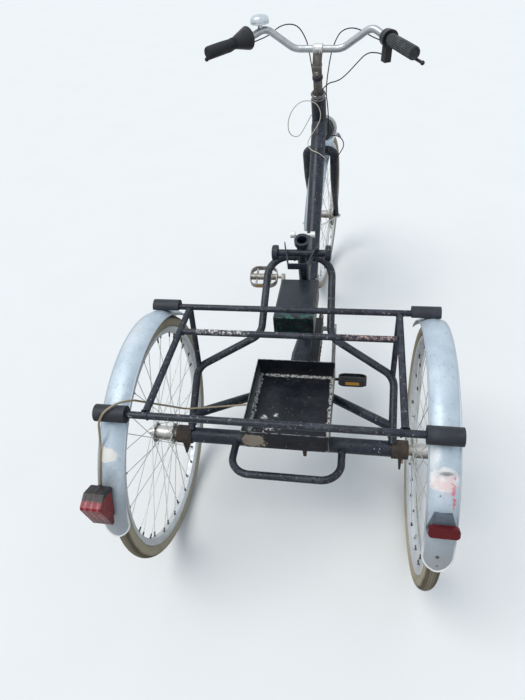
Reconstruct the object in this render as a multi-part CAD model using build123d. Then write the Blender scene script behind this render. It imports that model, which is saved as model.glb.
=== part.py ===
from build123d import *
import os
from math import acos, cos, pi, radians, sin, sqrt, tan

os.makedirs("parts", exist_ok=True)

# Motor trike: a step-through pedal tricycle with a battery tray and a control box, its saddle missing.
# Millimetres, +X to the rider's right, +Y forward, +Z up. The pieces are drawn with the rear axle over
# Y = 0, and moved at the end so that the origin lies on the floor at the middle of the footprint.

# Wheels
wheel_radius = 333.0
tyre_width = 38.0
tyre_height = 32.0
rim_bead_depth = 10.0
rim_well_depth = 7.5
rim_width = 27.0
rim_wall = 2.0
half_track = 351.0
wheelbase = 1289.0
spoke_width = 1.8
spokes_per_flange = 18
spoke_crossings = 3
spoke_head_step = 1.6
rim_hole_leading = 4.5
rim_hole_trailing = 1.5
flange_gap = 0.3

# Hubs
rear_barrel_radius = 19.0
front_barrel_radius = 15.0
hub_flange_radius = 28.0
hub_flange_thickness = 3.0
hub_flange_offset = 26.0
hub_hole_circle = 24.5
hub_end_offset = 34.0
hub_end_radius = 14.0
brake_drum_radius = 46.0
brake_drum_start = 33.0
brake_drum_end = 39.5
stub_radius = 8.0
stub_depth = 40.0
shaft_end = 18.0
sprocket_gap = 15.0
running_clearance = 0.08
axle_nut_radius = 9.5
axle_nut_length = 10.0
front_axle_radius = 4.8

# Rear axle tube with its bearing housings
axle_tube_radius = 21.0
axle_tube_setback = 59.0
bearing_radius = 25.0
bearing_length = 20.0
bearing_sleeve = 22.0
bearing_plate_thickness = 5.0
bearing_plate_width = 36.0
bearing_plate_drop = 62.0
tube_slack = 2.5
weld_gap = 0.3

# Main frame
bottom_bracket_y = 528.0
bottom_bracket_z = 298.0
bottom_bracket_radius = 20.0
bottom_bracket_width = 68.0
main_tube_radius = 23.0
main_tube_head_radius = 27.0
seat_tube_radius = 16.0
seat_post_bore = 13.65
seat_tube_angle = 72.3
seat_tube_length = 448.0
seat_tube_lean = 8.0
seat_bore_depth = 180.0
seat_collar_radius = 21.5
seat_collar_height = 15.0
seat_bolt_radius = 4.0
seat_bolt_half_length = 34.0
seat_bolt_head_radius = 9.0
seat_bolt_head_length = 12.0
head_angle = 74.0
head_tube_radius = 26.0
head_tube_bore = 15.5
head_tube_length = 140.0
fork_length = 444.0
fork_offset = 42.5

# Upper chassis tubes, bent flat in one sloping plane from the seat tube to the axle
chassis_tube_radius = 10.5
chassis_seat_y = 414.0
chassis_seat_z = 656.0
chassis_inner_x = 91.0
chassis_waist_x = 97.0
chassis_waist_y = 226.0
chassis_shoulder_y = 142.0
chassis_bend_radius = 48.0
chassis_corner_radius = 62.0

# Rear beam and lower stays
beam_front_width = 40.0
beam_width = 72.0
beam_height = 42.0
beam_taper_y = 372.0
beam_bevel = 10.0
stay_radius = 13.0
stay_apex_y = 262.0
stay_apex_z = 300.0
stay_outer_y = 34.0

# Carrier over the axle
rail_radius = 8.0
front_rail_y = 180.0
rear_rail_y = -204.0
cross_bar_y = 78.0
rail_half_length = 379.0
front_rail_half_length = 367.0
rail_to_side_rail = 108.0
cap_radius = 19.0
cap_length = 70.0
cap_end = 2.0
strut_radius = 7.5

# Mudguards
guard_clearance = 17.0
guard_width = 64.0
guard_crown = 13.0
guard_thickness = 1.6
guard_bead_radius = 2.2
rear_guard_back_angle = 82.0
rear_guard_front_angle = 56.0
front_guard_back_angle = 77.0
front_guard_front_angle = 38.0

# Battery tray on its bearers
tray_width = 224.0
tray_length = 273.0
tray_height = 60.0
tray_rear_y = -60.0
tray_floor_z = 375.0
sheet = 1.6
bearer_x = 74.0
bearer_width = 25.0
bearer_setback = 30.0

# Control box behind the seat tube
box_width = 112.0
box_length = 186.0
box_height = 68.0
box_top_z = 574.0
box_centre_x = -6.0
box_lip = 6.0
box_seam_drop = 16.0
box_seam_depth = 1.5

# Rear hoop
hoop_radius = 10.0
hoop_half_width = 143.0
hoop_reach = 116.0
hoop_bend = 52.0

# Seat cluster
cross_tube_radius = 10.0
cross_tube_half_length = 66.0
cross_knob_radius = 22.0
cross_knob_thickness = 16.0
cross_tube_drop = 32.0
cross_tube_shift = 8.0
cross_knob_round = 5.0

# Saddle strap: a strip bent to a narrowing U that lies on the cross tube
strap_front_half_width = 49.0
strap_back_half_width = 26.0
strap_front_reach = 14.0
strap_back_reach = 98.0
strap_height = 17.0
strap_thickness = 3.0

# Crankset and chain
crank_length = 174.0
crank_angle = 53.0
crank_offset = 92.0
crank_thickness = 12.0
crank_root_radius = 17.0
crank_tip_radius = 12.0
crank_axle_radius = 8.0
chain_x = 45.0
chainring_radius = 62.0
chainring_teeth = 30
chainring_holes = 5
chainring_hole_radius = 12.0
chainring_hole_circle = 36.0
sprocket_radius = 26.0
sprocket_teeth = 13
tooth_height = 3.5
tooth_share = 0.45
chain_pitch = 12.7
chain_core_width = 4.0
sprocket_thickness = 3.0
sprocket_wall = 5.0
chain_width = 8.0
chain_height = 9.0
chain_clearance = 1.1
pedal_length = 96.0
pedal_depth = 76.0
pedal_height = 22.0
pedal_corner = 26.0
pedal_wall = 3.0
pedal_gap = 14.0
pedal_core_radius = 11.0
pedal_bar_height = 8.0
left_pedal_tip = 22.0
right_pedal_tip = -25.0
pedal_axle_radius = 5.0

# Steering, turned a little to the right as it stands
steer_turn = 5.5
steerer_radius = 12.7
headset_radius = 22.0
headset_height = 25.0
crown_width = 128.0
crown_depth = 30.0
crown_height = 24.0
crown_round = 9.0
blade_x = 51.5
blade_top_radius = 14.0
blade_foot_radius = 10.5
blade_taper_end = 200.0
blade_straight = 260.0
blade_bend = 300.0
guard_boss_radius = 5.0
guard_boss_gap = 0.9
guard_stay_radius = 2.0
guard_stay_turn = 69.0
dropout_radius = 13.0
dropout_half = 4.0
front_axle_overhang = 18.0
front_nut_radius = 9.0
stem_radius = 15.5
bar_along = 300.0
bar_reach = 28.0
bar_radius = 11.1
bar_clamp_radius = 17.0
bar_clamp_width = 44.0
bar_flat = 79.0
bar_rise_x = 172.0
bar_rise_y = -12.0
bar_rise_z = 64.0
bar_shoulder_x = 212.0
bar_shoulder_y = -40.0
bar_shoulder_z = 46.0
bar_tip_x = 311.0
bar_tip_y = -201.0
bar_tip_z = 34.0
bar_flat_bend = 60.0
bar_rise_bend = 38.0
bar_shoulder_bend = 60.0

# Levers, bell and headlamp
grip_radius = 19.0
grip_tip_overhang = 4.0
grip_round = 6.0
grip_waist = 3.0
clamp_clearance = 0.15
lever_radius = 4.5
lever_ball_radius = 6.5
lever_root_lift = 16.0
lever_blade_lift = 30.0
lever_tip_lift = 27.0
lever_bend = 12.0
bell_radius = 31.0
bell_height = 28.0
bell_post_radius = 8.0
bell_post_height = 9.0
bell_share = 0.4
headlamp_radius = 50.0
headlamp_shell_radius = 40.0
headlamp_back_radius = 20.0
headlamp_depth = 62.0
headlamp_rim_depth = 12.0
headlamp_ahead = 66.0
headlamp_along = -31.0
headlamp_lug_radius = 6.0
cable_radius = 2.4
loop_wire_radius = 1.6
cable_straight = 34.0
cable_drop = 18.0
cable_lug_side = 4.0
cable_lug_setback = 7.0
cable_ring_along = 163.0
bracket_length = 26.0
bracket_width = 22.0
bracket_cable_drop = 54.0

# Tail lamp and reflector on the backs of the rear mudguards
lamp_turn = 65.0
lamp_shift = -11.0
lamp_width = 46.0
lamp_length = 90.0
lamp_height = 70.0
lamp_deep_step = 47.0
lamp_crest = 20.0
lamp_low_end = 22.0
lamp_base = 13.0
lamp_base_share = 0.75
lamp_bevel = 4.0
reflector_turn = 62.4
reflector_width = 60.0
reflector_height = 23.0
reflector_depth = 12.0
reflector_round = 8.0
reflector_bracket_width = 34.0
reflector_bracket_height = 40.0
reflector_bracket_depth = 14.0

# Chain guard
guard_channel_width = 25.0
guard_channel_depth = 20.0
guard_channel_setback = 55.0
guard_tab_y = 290.0
guard_tab_length = 30.0

axle_tube_end = half_track - axle_tube_setback
rim_seat_radius = wheel_radius - tyre_height
rim_well_radius = rim_seat_radius - rim_bead_depth
rim_inner_radius = rim_well_radius - rim_well_depth
guard_radius = wheel_radius + guard_clearance
side_rail_x = rail_half_length - rail_to_side_rail
axle_z = wheel_radius
# the front rail lies on the crowns of the two rear mudguards
rail_height = axle_z + sqrt((guard_radius + rail_radius + weld_gap) ** 2 - front_rail_y**2)
rear_axle = Vector(0, 0, axle_z)
front_axle = Vector(0, wheelbase, axle_z)
bottom_bracket = Vector(0, bottom_bracket_y, bottom_bracket_z)
up_head = Vector(0, -cos(radians(head_angle)), sin(radians(head_angle)))
out_head = Vector(0, sin(radians(head_angle)), cos(radians(head_angle)))
across = Vector(1, 0, 0)
parts = {}


def rod(start, end, radius, end_radius=None):
    """A round bar between two points, tapered if a second radius is given."""
    line = end - start
    place = Plane(origin=start, z_dir=line)
    if end_radius is None:
        return extrude(place * Circle(radius), amount=line.length)
    return place * Pos(0, 0, line.length / 2) * Cone(radius, end_radius, line.length)


def pipe(points, bends, radius):
    """A bent round bar along straight runs joined by tangent arcs."""
    path = FilletPolyline(*points, radius=bends)
    return sweep(Plane(origin=path @ 0, z_dir=path % 0) * Circle(radius), path=path)


def turned(profile, centre):
    """A turned piece about the X axis through a centre: the profile has X along it and Y outward."""
    face = make_face(Polyline(*profile, close=True))
    return Location(centre) * revolve(face, Axis.X, 360)


def mirrored(points):
    return [Vector(-p.X, p.Y, p.Z) for p in points]


def head_point(along, forward=0.0, side=0.0):
    """A point by its distance up the steering axis from the head tube's foot, ahead of it and aside."""
    foot = front_axle - out_head * fork_offset + up_head * fork_length
    return foot + up_head * along + out_head * forward + across * side


def group(solids):
    return Compound(children=list(solids))


# A wheel's own pieces, turned about the X axis through its centre


def make_tyre(centre):
    middle = wheel_radius - tyre_width / 2
    section = Pos(0, middle) * Circle(tyre_width / 2)
    below = Pos(0, rim_seat_radius - tyre_width / 2) * Rectangle(tyre_width * 2, tyre_width)
    return Location(centre) * revolve(section - below, Axis.X, 360)


def make_rim(centre):
    half = rim_width / 2
    edge = rim_seat_radius - flange_gap
    profile = [
        (-half, edge),
        (-half, rim_well_radius),
        (-half / 2, rim_inner_radius),
        (half / 2, rim_inner_radius),
        (half, rim_well_radius),
        (half, edge),
        (half - rim_wall, edge),
        (half - rim_wall * 2, rim_well_radius + rim_wall),
        (-half + rim_wall * 2, rim_well_radius + rim_wall),
        (-half + rim_wall, edge),
    ]
    return turned(profile, centre)


def make_spokes(centre):
    """Laced spokes: each flange sends half of them leading and half trailing, on its two faces."""
    pitch = 360 / spokes_per_flange
    lean = spoke_crossings * pitch
    solids = []
    for side in (-1, 1):
        for i in range(spokes_per_flange):
            leading = i % 2 == 0
            outside = hub_flange_thickness / 2 + flange_gap + spoke_width / 2
            hub_x = hub_flange_offset + (outside + spoke_head_step if leading else -outside)
            rim_x = rim_hole_leading if leading else rim_hole_trailing
            hub_turn = radians(i * pitch + (pitch / 2 if side > 0 else 0))
            rim_turn = hub_turn + radians(lean if leading else -lean)
            rim_end = rim_inner_radius - flange_gap * 2
            start = Vector(side * hub_x, hub_hole_circle * cos(hub_turn), hub_hole_circle * sin(hub_turn))
            end = Vector(side * rim_x, rim_end * cos(rim_turn), rim_end * sin(rim_turn))
            place = Plane(origin=start, z_dir=end - start)
            bar = extrude(place * Rectangle(spoke_width, spoke_width), amount=(end - start).length)
            solids.append(Location(centre) * bar)
    return group(solids)


def make_hub(centre, side, depth):
    """A rear hub: side is +1 on the right. Its shaft runs inward through the bearing, by a depth."""
    out, face = hub_flange_offset + hub_flange_thickness / 2, hub_flange_offset - hub_flange_thickness / 2
    inner_end = half_track - axle_tube_end - bearing_length - weld_gap * 2
    profile = [
        (-inner_end - depth, 0),
        (-inner_end - depth, stub_radius),
        (-inner_end, stub_radius),
        (-inner_end, hub_end_radius),
        (-out, hub_end_radius),
        (-out, hub_flange_radius),
        (-face, hub_flange_radius),
        (-face, rear_barrel_radius),
        (face, rear_barrel_radius),
        (face, hub_flange_radius),
        (out, hub_flange_radius),
        (out, hub_end_radius),
        (hub_end_offset, hub_end_radius),
        (hub_end_offset, axle_nut_radius),
        (hub_end_offset + axle_nut_length, axle_nut_radius),
        (hub_end_offset + axle_nut_length, 0),
    ]
    return turned([(side * x, r) for x, r in profile], centre)


def make_front_hub(centre):
    """The front hub with its brake drum on the right, bored for the fixed axle."""
    bore = front_axle_radius + running_clearance
    out, face = hub_flange_offset + hub_flange_thickness / 2, hub_flange_offset - hub_flange_thickness / 2
    profile = [
        (-hub_end_offset, bore),
        (-hub_end_offset, hub_end_radius),
        (-out, hub_end_radius),
        (-out, hub_flange_radius),
        (-face, hub_flange_radius),
        (-face, front_barrel_radius),
        (face, front_barrel_radius),
        (face, hub_flange_radius),
        (out, hub_flange_radius),
        (out, hub_end_radius),
        (brake_drum_start, hub_end_radius),
        (brake_drum_start, brake_drum_radius),
        (brake_drum_end, brake_drum_radius),
        (brake_drum_end, bore),
    ]
    return turned(profile, centre)


wheels = (
    # name, centre
    ("rear_left", Vector(-half_track, 0, axle_z)),
    ("rear_right", Vector(half_track, 0, axle_z)),
    ("front", front_axle),
)
for name, centre in wheels:
    parts[name + "_tyre"] = make_tyre(centre)
    parts[name + "_rim"] = make_rim(centre)
    parts[name + "_spokes"] = make_spokes(centre)
bearing_face = axle_tube_end + weld_gap * 2 + bearing_length
parts["rear_left_hub"] = make_hub(wheels[0][1], -1, stub_depth)
parts["rear_right_hub"] = make_hub(wheels[1][1], 1, bearing_face - shaft_end)
parts["front_hub"] = make_front_hub(front_axle)

# Rear axle tube with a bearing housing and its hanger plate at each end


def make_axle_tube():
    """Two halves either side of the chain's sprocket, each bored for the shaft it holds."""
    solids = []
    halves = (
        # inner end, outer end, bore at the inner end
        (chain_x - sprocket_gap, -axle_tube_end, stub_radius + running_clearance),
        (chain_x + sprocket_gap, axle_tube_end, stub_radius + tube_slack),
    )
    for inner, outer, bore in halves:
        tube = rod(rear_axle + across * inner, rear_axle + across * outer, axle_tube_radius)
        side = 1 if outer > 0 else -1
        depth = stub_depth if side < 0 else outer - inner + 10
        mouth = rear_axle + across * outer
        tube -= rod(mouth + across * side, mouth - across * side * depth, stub_radius + tube_slack)
        if side < 0:
            start = rear_axle + across * (inner + 1)
            tube -= rod(start, rear_axle + across * (shaft_end - 4), bore)
        solids.append(tube)
    return group(solids)


def make_bearings():
    """Each housing is bored for the hub's stub and stands on a plate that hangs below the tube."""
    solids = []
    for side in (-1, 1):
        start = rear_axle + across * side * (axle_tube_end + weld_gap)
        end = start + across * side * bearing_length
        housing = rod(start - across * side * bearing_sleeve, end, bearing_radius)
        housing -= rod(start - across * side * bearing_sleeve * 2, start, axle_tube_radius + weld_gap)
        drop = Pos(start.X + side * bearing_plate_thickness / 2, 0, axle_z - bearing_plate_drop / 2)
        plate = drop * Box(bearing_plate_thickness, bearing_plate_width, bearing_plate_drop)
        housing += plate
        bore = rod(start - across * side * 5, end + across * side * 5, stub_radius + running_clearance)
        solids.append(housing - bore)
    return group(solids)


parts["axle_tube"] = make_axle_tube()
parts["axle_bearings"] = make_bearings()

# Main frame


def ray_y(z):
    """Where the seat tube's line passes at a height."""
    return bottom_bracket_y - (z - bottom_bracket_z) / tan(radians(seat_tube_angle))


seat_up = Vector(0, -cos(radians(seat_tube_angle)), sin(radians(seat_tube_angle)))
seat_top = bottom_bracket + seat_up * seat_tube_length + across * seat_tube_lean
seat_up = (seat_top - bottom_bracket).normalized()
shell_half = across * (bottom_bracket_width / 2)
shell = rod(bottom_bracket - shell_half, bottom_bracket + shell_half, bottom_bracket_radius)
shell_cut = rod(bottom_bracket - shell_half, bottom_bracket + shell_half, bottom_bracket_radius + weld_gap)
head_foot, head_crown = head_point(0), head_point(head_tube_length)
head_tube = rod(head_foot, head_crown, head_tube_radius)
head_tube -= rod(head_point(-5), head_point(head_tube_length + 5), head_tube_bore)
head_cut = rod(head_foot, head_crown, head_tube_radius + weld_gap)
main_top = head_point(head_tube_length * 0.38)
main_tube = rod(bottom_bracket, main_top, main_tube_radius, main_tube_head_radius) - head_cut - shell_cut
main_cut = rod(bottom_bracket, main_top, main_tube_radius + weld_gap, main_tube_head_radius + weld_gap)
seat_tube = rod(bottom_bracket, seat_top, seat_tube_radius) - shell_cut
seat_tube -= rod(seat_top + seat_up, seat_top - seat_up * seat_bore_depth, seat_post_bore)
main_tube -= rod(bottom_bracket, seat_top, seat_tube_radius + weld_gap)
parts["bottom_bracket_shell"] = shell - rod(
    bottom_bracket - shell_half * 1.2, bottom_bracket + shell_half * 1.2, crank_axle_radius + running_clearance
)
parts["head_tube"] = head_tube
parts["main_tube"] = main_tube
parts["seat_tube"] = seat_tube

# Upper chassis tubes: they leave the seat tube sideways, run down beside the box, spread out to the
# carrier's struts and come down on the axle tube, all in one sloping plane

chassis_foot_z = axle_z + axle_tube_radius
chassis_slope = (chassis_seat_z - chassis_foot_z) / chassis_seat_y


def chassis_point(x, y):
    return Vector(x, y, chassis_foot_z + chassis_slope * y)


chassis_run = [
    chassis_point(0, chassis_seat_y),
    chassis_point(chassis_inner_x, chassis_seat_y),
    chassis_point(chassis_waist_x, chassis_waist_y),
    chassis_point(side_rail_x, chassis_shoulder_y),
    chassis_point(side_rail_x, 0),
]
seat_cut = rod(bottom_bracket, seat_top, seat_tube_radius + weld_gap)
axle_cut = rod(
    rear_axle - across * axle_tube_end, rear_axle + across * axle_tube_end, axle_tube_radius + weld_gap
)
chassis_bends = [chassis_corner_radius, chassis_bend_radius, chassis_bend_radius]
sleeve_start = rear_axle + across * (axle_tube_end - bearing_sleeve - weld_gap)
bearing_cut = rod(sleeve_start, rear_axle + across * half_track, bearing_radius + weld_gap)
right_chassis = pipe(chassis_run, chassis_bends, chassis_tube_radius) - axle_cut - bearing_cut
parts["chassis_tubes"] = group([mirror(right_chassis, about=Plane.YZ) - seat_cut, right_chassis - seat_cut])
chassis_cut = pipe(chassis_run, chassis_bends, chassis_tube_radius + weld_gap)

# Rear beam from the bottom bracket back to the axle tube, widening to where the stays spread


def beam_line(y):
    """The height of the beam's middle, from the bottom bracket's at its front to the axle's."""
    return bottom_bracket_z + (axle_z - bottom_bracket_z) * (1 - y / bottom_bracket_y)


def beam_section(y, width):
    outline = chamfer(Rectangle(width, beam_height).vertices(), beam_bevel)
    return Plane(origin=(0, y, beam_line(y)), x_dir=(1, 0, 0), z_dir=(0, 1, 0)) * outline


def make_beam():
    wide = loft([beam_section(0, beam_width), beam_section(beam_taper_y, beam_width)], ruled=True)
    taper = loft(
        [beam_section(beam_taper_y, beam_width), beam_section(bottom_bracket_y, beam_front_width)], ruled=True
    )
    return wide + taper - shell_cut - axle_cut - seat_cut - main_cut


beam = make_beam()
parts["rear_beam"] = beam

# Lower stays from the beam to the upper chassis tubes, just ahead of the axle


def make_stays():
    outer = chassis_point(side_rail_x, stay_outer_y)
    apex = Vector(0, stay_apex_y, stay_apex_z)
    stay = rod(apex, outer, stay_radius) - chassis_cut
    beam_cut = Box(beam_width + weld_gap * 2, wheelbase, wheelbase)
    stay = (stay - beam_cut).solids().sort_by(SortBy.VOLUME)[-1]
    return group([stay, mirror(stay, about=Plane.YZ)])


parts["lower_stays"] = make_stays()

# Carrier: a front and a rear rail and a cross bar joined by two side rails, on two struts


rails = (
    # place along the trike, half length
    (front_rail_y, front_rail_half_length),
    (rear_rail_y, rail_half_length),
)


def make_bars():
    solids = []
    for y, half_length in rails:
        end = across * half_length
        centre = Vector(0, y, rail_height)
        solids.append(rod(centre - end, centre + end, rail_radius))
    centre = Vector(0, cross_bar_y, rail_height)
    end = across * (side_rail_x - rail_radius - weld_gap)
    solids.append(rod(centre - end, centre + end, rail_radius))
    return solids


def make_side_rails():
    solids = []
    inset = rail_radius + weld_gap
    for side in (-1, 1):
        x = side * side_rail_x
        start = Vector(x, rear_rail_y + inset, rail_height)
        end = Vector(x, front_rail_y - inset, rail_height)
        solids.append(rod(start, end, rail_radius))
    return solids


def make_struts():
    top = Vector(side_rail_x, front_rail_y, rail_height)
    foot = chassis_point(side_rail_x - 4, chassis_shoulder_y)
    strut = rod(top, foot, strut_radius) - chassis_cut
    line = across * 60
    strut -= rod(top - line, top + line, rail_radius + weld_gap)
    strut -= rod(top - Vector(0, 100, 0), top, rail_radius + weld_gap)
    strut = strut.solids().sort_by(SortBy.VOLUME)[-1]
    return group([strut, mirror(strut, about=Plane.YZ)])


parts["carrier_bars"] = group(make_bars())
parts["carrier_side_rails"] = group(make_side_rails())
parts["carrier_struts"] = make_struts()

# Mudguards: an arched strip turned about the wheel's axle


def guard_face(radius, thickness):
    """The strip's section, with X across and Y outward from the axle."""
    half = guard_width / 2
    bulge = (half * half + guard_crown * guard_crown) / (2 * guard_crown)
    outer = ThreePointArc((-half, radius - guard_crown), (0, radius), (half, radius - guard_crown))
    inner = ThreePointArc(
        (half - thickness, radius - guard_crown),
        (0, radius - thickness),
        (-half + thickness, radius - guard_crown),
    )
    ends = [
        Line((half, radius - guard_crown), (half - thickness, radius - guard_crown)),
        Line((-half + thickness, radius - guard_crown), (-half, radius - guard_crown)),
    ]
    face = make_face([outer, ends[0], inner, ends[1]])
    for side in (-1, 1):
        face += Pos(side * (half - thickness), radius - guard_crown) * Circle(guard_bead_radius)
    return face


def make_guard(centre, ahead, behind):
    """From an angle ahead of the top to an angle behind it."""
    section = guard_face(guard_radius, guard_thickness)
    strip = Rot(90 - ahead, 0, 0) * revolve(section, Axis.X, ahead + behind)
    # the back end is rounded: what lies past a circle as wide as the guard is cut away
    half = guard_width / 2
    turn = radians(behind) - half / guard_radius
    outward = Vector(0, -sin(turn), cos(turn))
    place = Plane(origin=outward * guard_radius, x_dir=(1, 0, 0), z_dir=outward)
    block = Pos(0, -guard_width, 0) * Box(guard_width * 2, guard_width * 2, guard_width * 2)
    strip -= place * (block - Cylinder(half + guard_bead_radius, guard_width * 2))
    return Location(centre) * strip.solids().sort_by(SortBy.VOLUME)[-1]


for name, centre in wheels[:2]:
    parts[name + "_mudguard"] = make_guard(centre, rear_guard_front_angle, rear_guard_back_angle)
parts["front_mudguard"] = make_guard(front_axle, front_guard_front_angle, front_guard_back_angle)


def make_caps():
    """Rubber end caps on the rails, notched underneath where they sit over the mudguards."""
    solids = []
    for side in (-1, 1):
        wheel = rear_axle + across * side * half_track
        notch = rod(wheel - across * guard_width, wheel + across * guard_width, guard_radius + flange_gap)
        for y, half_length in rails:
            inner = Vector(side * (half_length + cap_end - cap_length), y, rail_height)
            cap = rod(inner, inner + across * side * cap_length, cap_radius)
            bore = rod(inner - across * side, inner + across * side * (cap_length - cap_end + weld_gap),
                       rail_radius + weld_gap / 2)
            solids.append((cap - bore - notch).solids().sort_by(SortBy.VOLUME)[-1])
    return group(solids)


parts["rail_end_caps"] = make_caps()

# Battery tray: an open sheet box on two bearers over the axle tube


def make_tray():
    centre = Pos(0, tray_rear_y + tray_length / 2, tray_floor_z + tray_height / 2)
    tray = centre * Box(tray_width, tray_length, tray_height)
    inside = Box(tray_width - sheet * 2, tray_length - sheet * 2, tray_height)
    return tray - centre * Pos(0, 0, sheet) * inside


def make_bearers():
    """Two channels, open underneath, that lie on the axle tube and carry the tray."""
    solids = []
    low, high = axle_z + axle_tube_radius + weld_gap, tray_floor_z - weld_gap
    length = tray_length - bearer_setback * 2
    for side in (-1, 1):
        place = Pos(side * bearer_x, tray_rear_y + tray_length / 2, (low + high) / 2)
        block = place * Box(bearer_width, length, high - low)
        block -= place * Pos(0, 0, -sheet * 2) * Box(bearer_width - sheet * 4, length * 2, high - low)
        solids.append(block)
    return group(solids)


parts["battery_tray"] = make_tray()
parts["tray_bearers"] = make_bearers()

# Control box


def make_box():
    front_y = ray_y(box_top_z - box_lip) - (seat_tube_radius + weld_gap) / sin(radians(seat_tube_angle))
    centre = Pos(box_centre_x, front_y - box_length / 2, box_top_z - box_height / 2)
    body = centre * Box(box_width, box_length, box_height)
    body = chamfer(body.faces().sort_by(Axis.Z)[-1].edges(), box_lip)
    seam = centre * Pos(0, 0, box_height / 2 - box_seam_drop)
    groove = Box(box_width * 2, box_length * 2, box_seam_depth)
    groove -= Box(box_width - box_seam_depth * 2, box_length - box_seam_depth * 2, box_seam_depth)
    return body - seam * groove


parts["control_box"] = make_box()

# Rear hoop behind the axle tube
hoop_run = [
    Vector(-hoop_half_width, 0, axle_z),
    Vector(-hoop_half_width, -hoop_reach, axle_z),
    Vector(hoop_half_width, -hoop_reach, axle_z),
    Vector(hoop_half_width, 0, axle_z),
]
parts["rear_hoop"] = pipe(hoop_run, hoop_bend, hoop_radius) - axle_cut

# Seat cluster: a cross tube with round end knobs behind the seat tube


cross_z = seat_top.Z - cross_tube_drop
cross_y = ray_y(cross_z) - (seat_tube_radius + cross_tube_radius + weld_gap) / sin(radians(seat_tube_angle))
cross_centre = Vector(cross_tube_shift, cross_y, cross_z)


def make_cross_tube():
    half = across * cross_tube_half_length
    tube = rod(cross_centre - half, cross_centre + half, cross_tube_radius)
    for side in (-1, 1):
        end = cross_centre + half * side
        knob = rod(end, end + across * side * cross_knob_thickness, cross_knob_radius)
        outer = knob.faces().sort_by(Axis.X)[-1 if side > 0 else 0]
        tube += fillet(outer.edges(), cross_knob_round)
    return tube


def make_strap():
    """The strip's outline from above: a U that narrows to the back, as thick as the sheet."""
    front, back = strap_front_reach, -strap_back_reach
    outline = []
    for shrink in (0, strap_thickness):
        wide, narrow = strap_front_half_width - shrink, strap_back_half_width - shrink
        rear = back + shrink
        points = [(-wide, front), (-narrow, rear), (narrow, rear), (wide, front)]
        outline.extend(points if shrink == 0 else reversed(points))
    face = make_face(Polyline(*outline, close=True))
    base = cross_centre + Vector(0, 0, cross_tube_radius + weld_gap)
    return Location(base) * extrude(face, amount=strap_height)


def make_seat_clamp():
    """A split collar round the seat tube's top, drawn together by a bolt through its two ears."""
    low, high = seat_top - seat_up * seat_collar_height, seat_top
    ahead = Vector(0, sin(radians(seat_tube_angle)), cos(radians(seat_tube_angle)))
    collar = rod(low, high, seat_collar_radius)
    middle = (low + high) / 2
    bolt_centre = middle + ahead * (seat_collar_radius + seat_bolt_radius)
    ears = Plane(origin=middle + ahead * seat_collar_radius, x_dir=(1, 0, 0), z_dir=seat_up)
    collar += ears * Box(seat_bolt_radius * 6, seat_bolt_radius * 5, seat_collar_height)
    collar -= rod(low - seat_up, high + seat_up, seat_tube_radius + weld_gap)
    half = across * seat_bolt_half_length
    collar += rod(bolt_centre - half, bolt_centre + half, seat_bolt_radius)
    for side in (-1, 1):
        end = bolt_centre + half * side
        collar += rod(end - across * side * seat_bolt_head_length, end, seat_bolt_head_radius)
    return collar


parts["saddle_mount"] = group([make_cross_tube(), make_strap()])
parts["seat_clamp"] = make_seat_clamp()

# Tail lamp and reflector on the backs of the rear mudguards


def guard_seat(side, turn, lift, shift=0.0):
    """A place on a rear mudguard's back: turn is the angle behind the top, lift the height off it."""
    r = guard_radius + lift
    origin = (side * half_track + shift, -r * sin(radians(turn)), axle_z + r * cos(radians(turn)))
    outward = (0, -sin(radians(turn)), cos(radians(turn)))
    return Plane(origin=origin, x_dir=(1, 0, 0), z_dir=outward)


def guard_fill(side):
    """All that lies under a rear mudguard's outer face, a weld's gap fuller."""
    half, radius = guard_width / 2, guard_radius + weld_gap
    arch = ThreePointArc((-half, radius - guard_crown), (0, radius), (half, radius - guard_crown))
    low = radius - guard_crown * 2
    under = Polyline(arch @ 1, (half, low), (-half, low), arch @ 0)
    return Location((side * half_track, 0, axle_z)) * revolve(make_face([arch, under]), Axis.X, 360)


def make_lamp_base():
    low = guard_seat(-1, lamp_turn, lamp_base / 2 - guard_crown / 2, lamp_shift)
    block = Box(lamp_width * lamp_base_share, lamp_length * lamp_base_share, lamp_base + guard_crown)
    return (low * block - guard_fill(-1)).solids().sort_by(SortBy.VOLUME)[-1]


def make_lamp_lens():
    """A wedge along the mudguard: its deep end is the flat top, and its back slopes down to the bottom."""
    half, foot = lamp_length / 2, lamp_base + weld_gap * 2
    outline = [(-half, foot), (half, foot), (half, lamp_deep_step), (lamp_crest, lamp_height)]
    outline.append((-half, lamp_low_end))
    wedge = extrude(Plane.YZ * make_face(Polyline(*outline, close=True)), amount=lamp_width / 2, both=True)
    wedge = chamfer(wedge.edges().filter_by(Axis.X).sort_by(Axis.Z)[-1], lamp_bevel)
    return guard_seat(-1, lamp_turn, 0, lamp_shift) * wedge


parts["tail_lamp_base"] = make_lamp_base()
parts["tail_lamp_lens"] = make_lamp_lens()


def make_reflector():
    outline = RectangleRounded(reflector_width, reflector_height, reflector_round)
    seat = guard_seat(1, reflector_turn, reflector_bracket_depth + weld_gap * 2)
    return seat * extrude(outline, amount=reflector_depth)


def make_reflector_bracket():
    """A pressed bracket that narrows away from the reflector it holds off the mudguard."""
    wide, narrow = reflector_width / 2, reflector_bracket_width / 2
    low, high = -reflector_height / 2, reflector_bracket_height - reflector_height / 2
    face = make_face(Polyline((-wide, low), (wide, low), (narrow, high), (-narrow, high), close=True))
    block = extrude(face, amount=reflector_bracket_depth + guard_crown)
    block = guard_seat(1, reflector_turn, weld_gap - guard_crown) * block - guard_fill(1)
    return block.solids().sort_by(SortBy.VOLUME)[-1]


parts["rear_reflector"] = make_reflector()
parts["reflector_bracket"] = make_reflector_bracket()

# Crankset: axle, chainring and arms, and a pedal at each arm's end
crank_turn = radians(crank_angle)
crank_dir = Vector(0, cos(crank_turn), sin(crank_turn))


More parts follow.
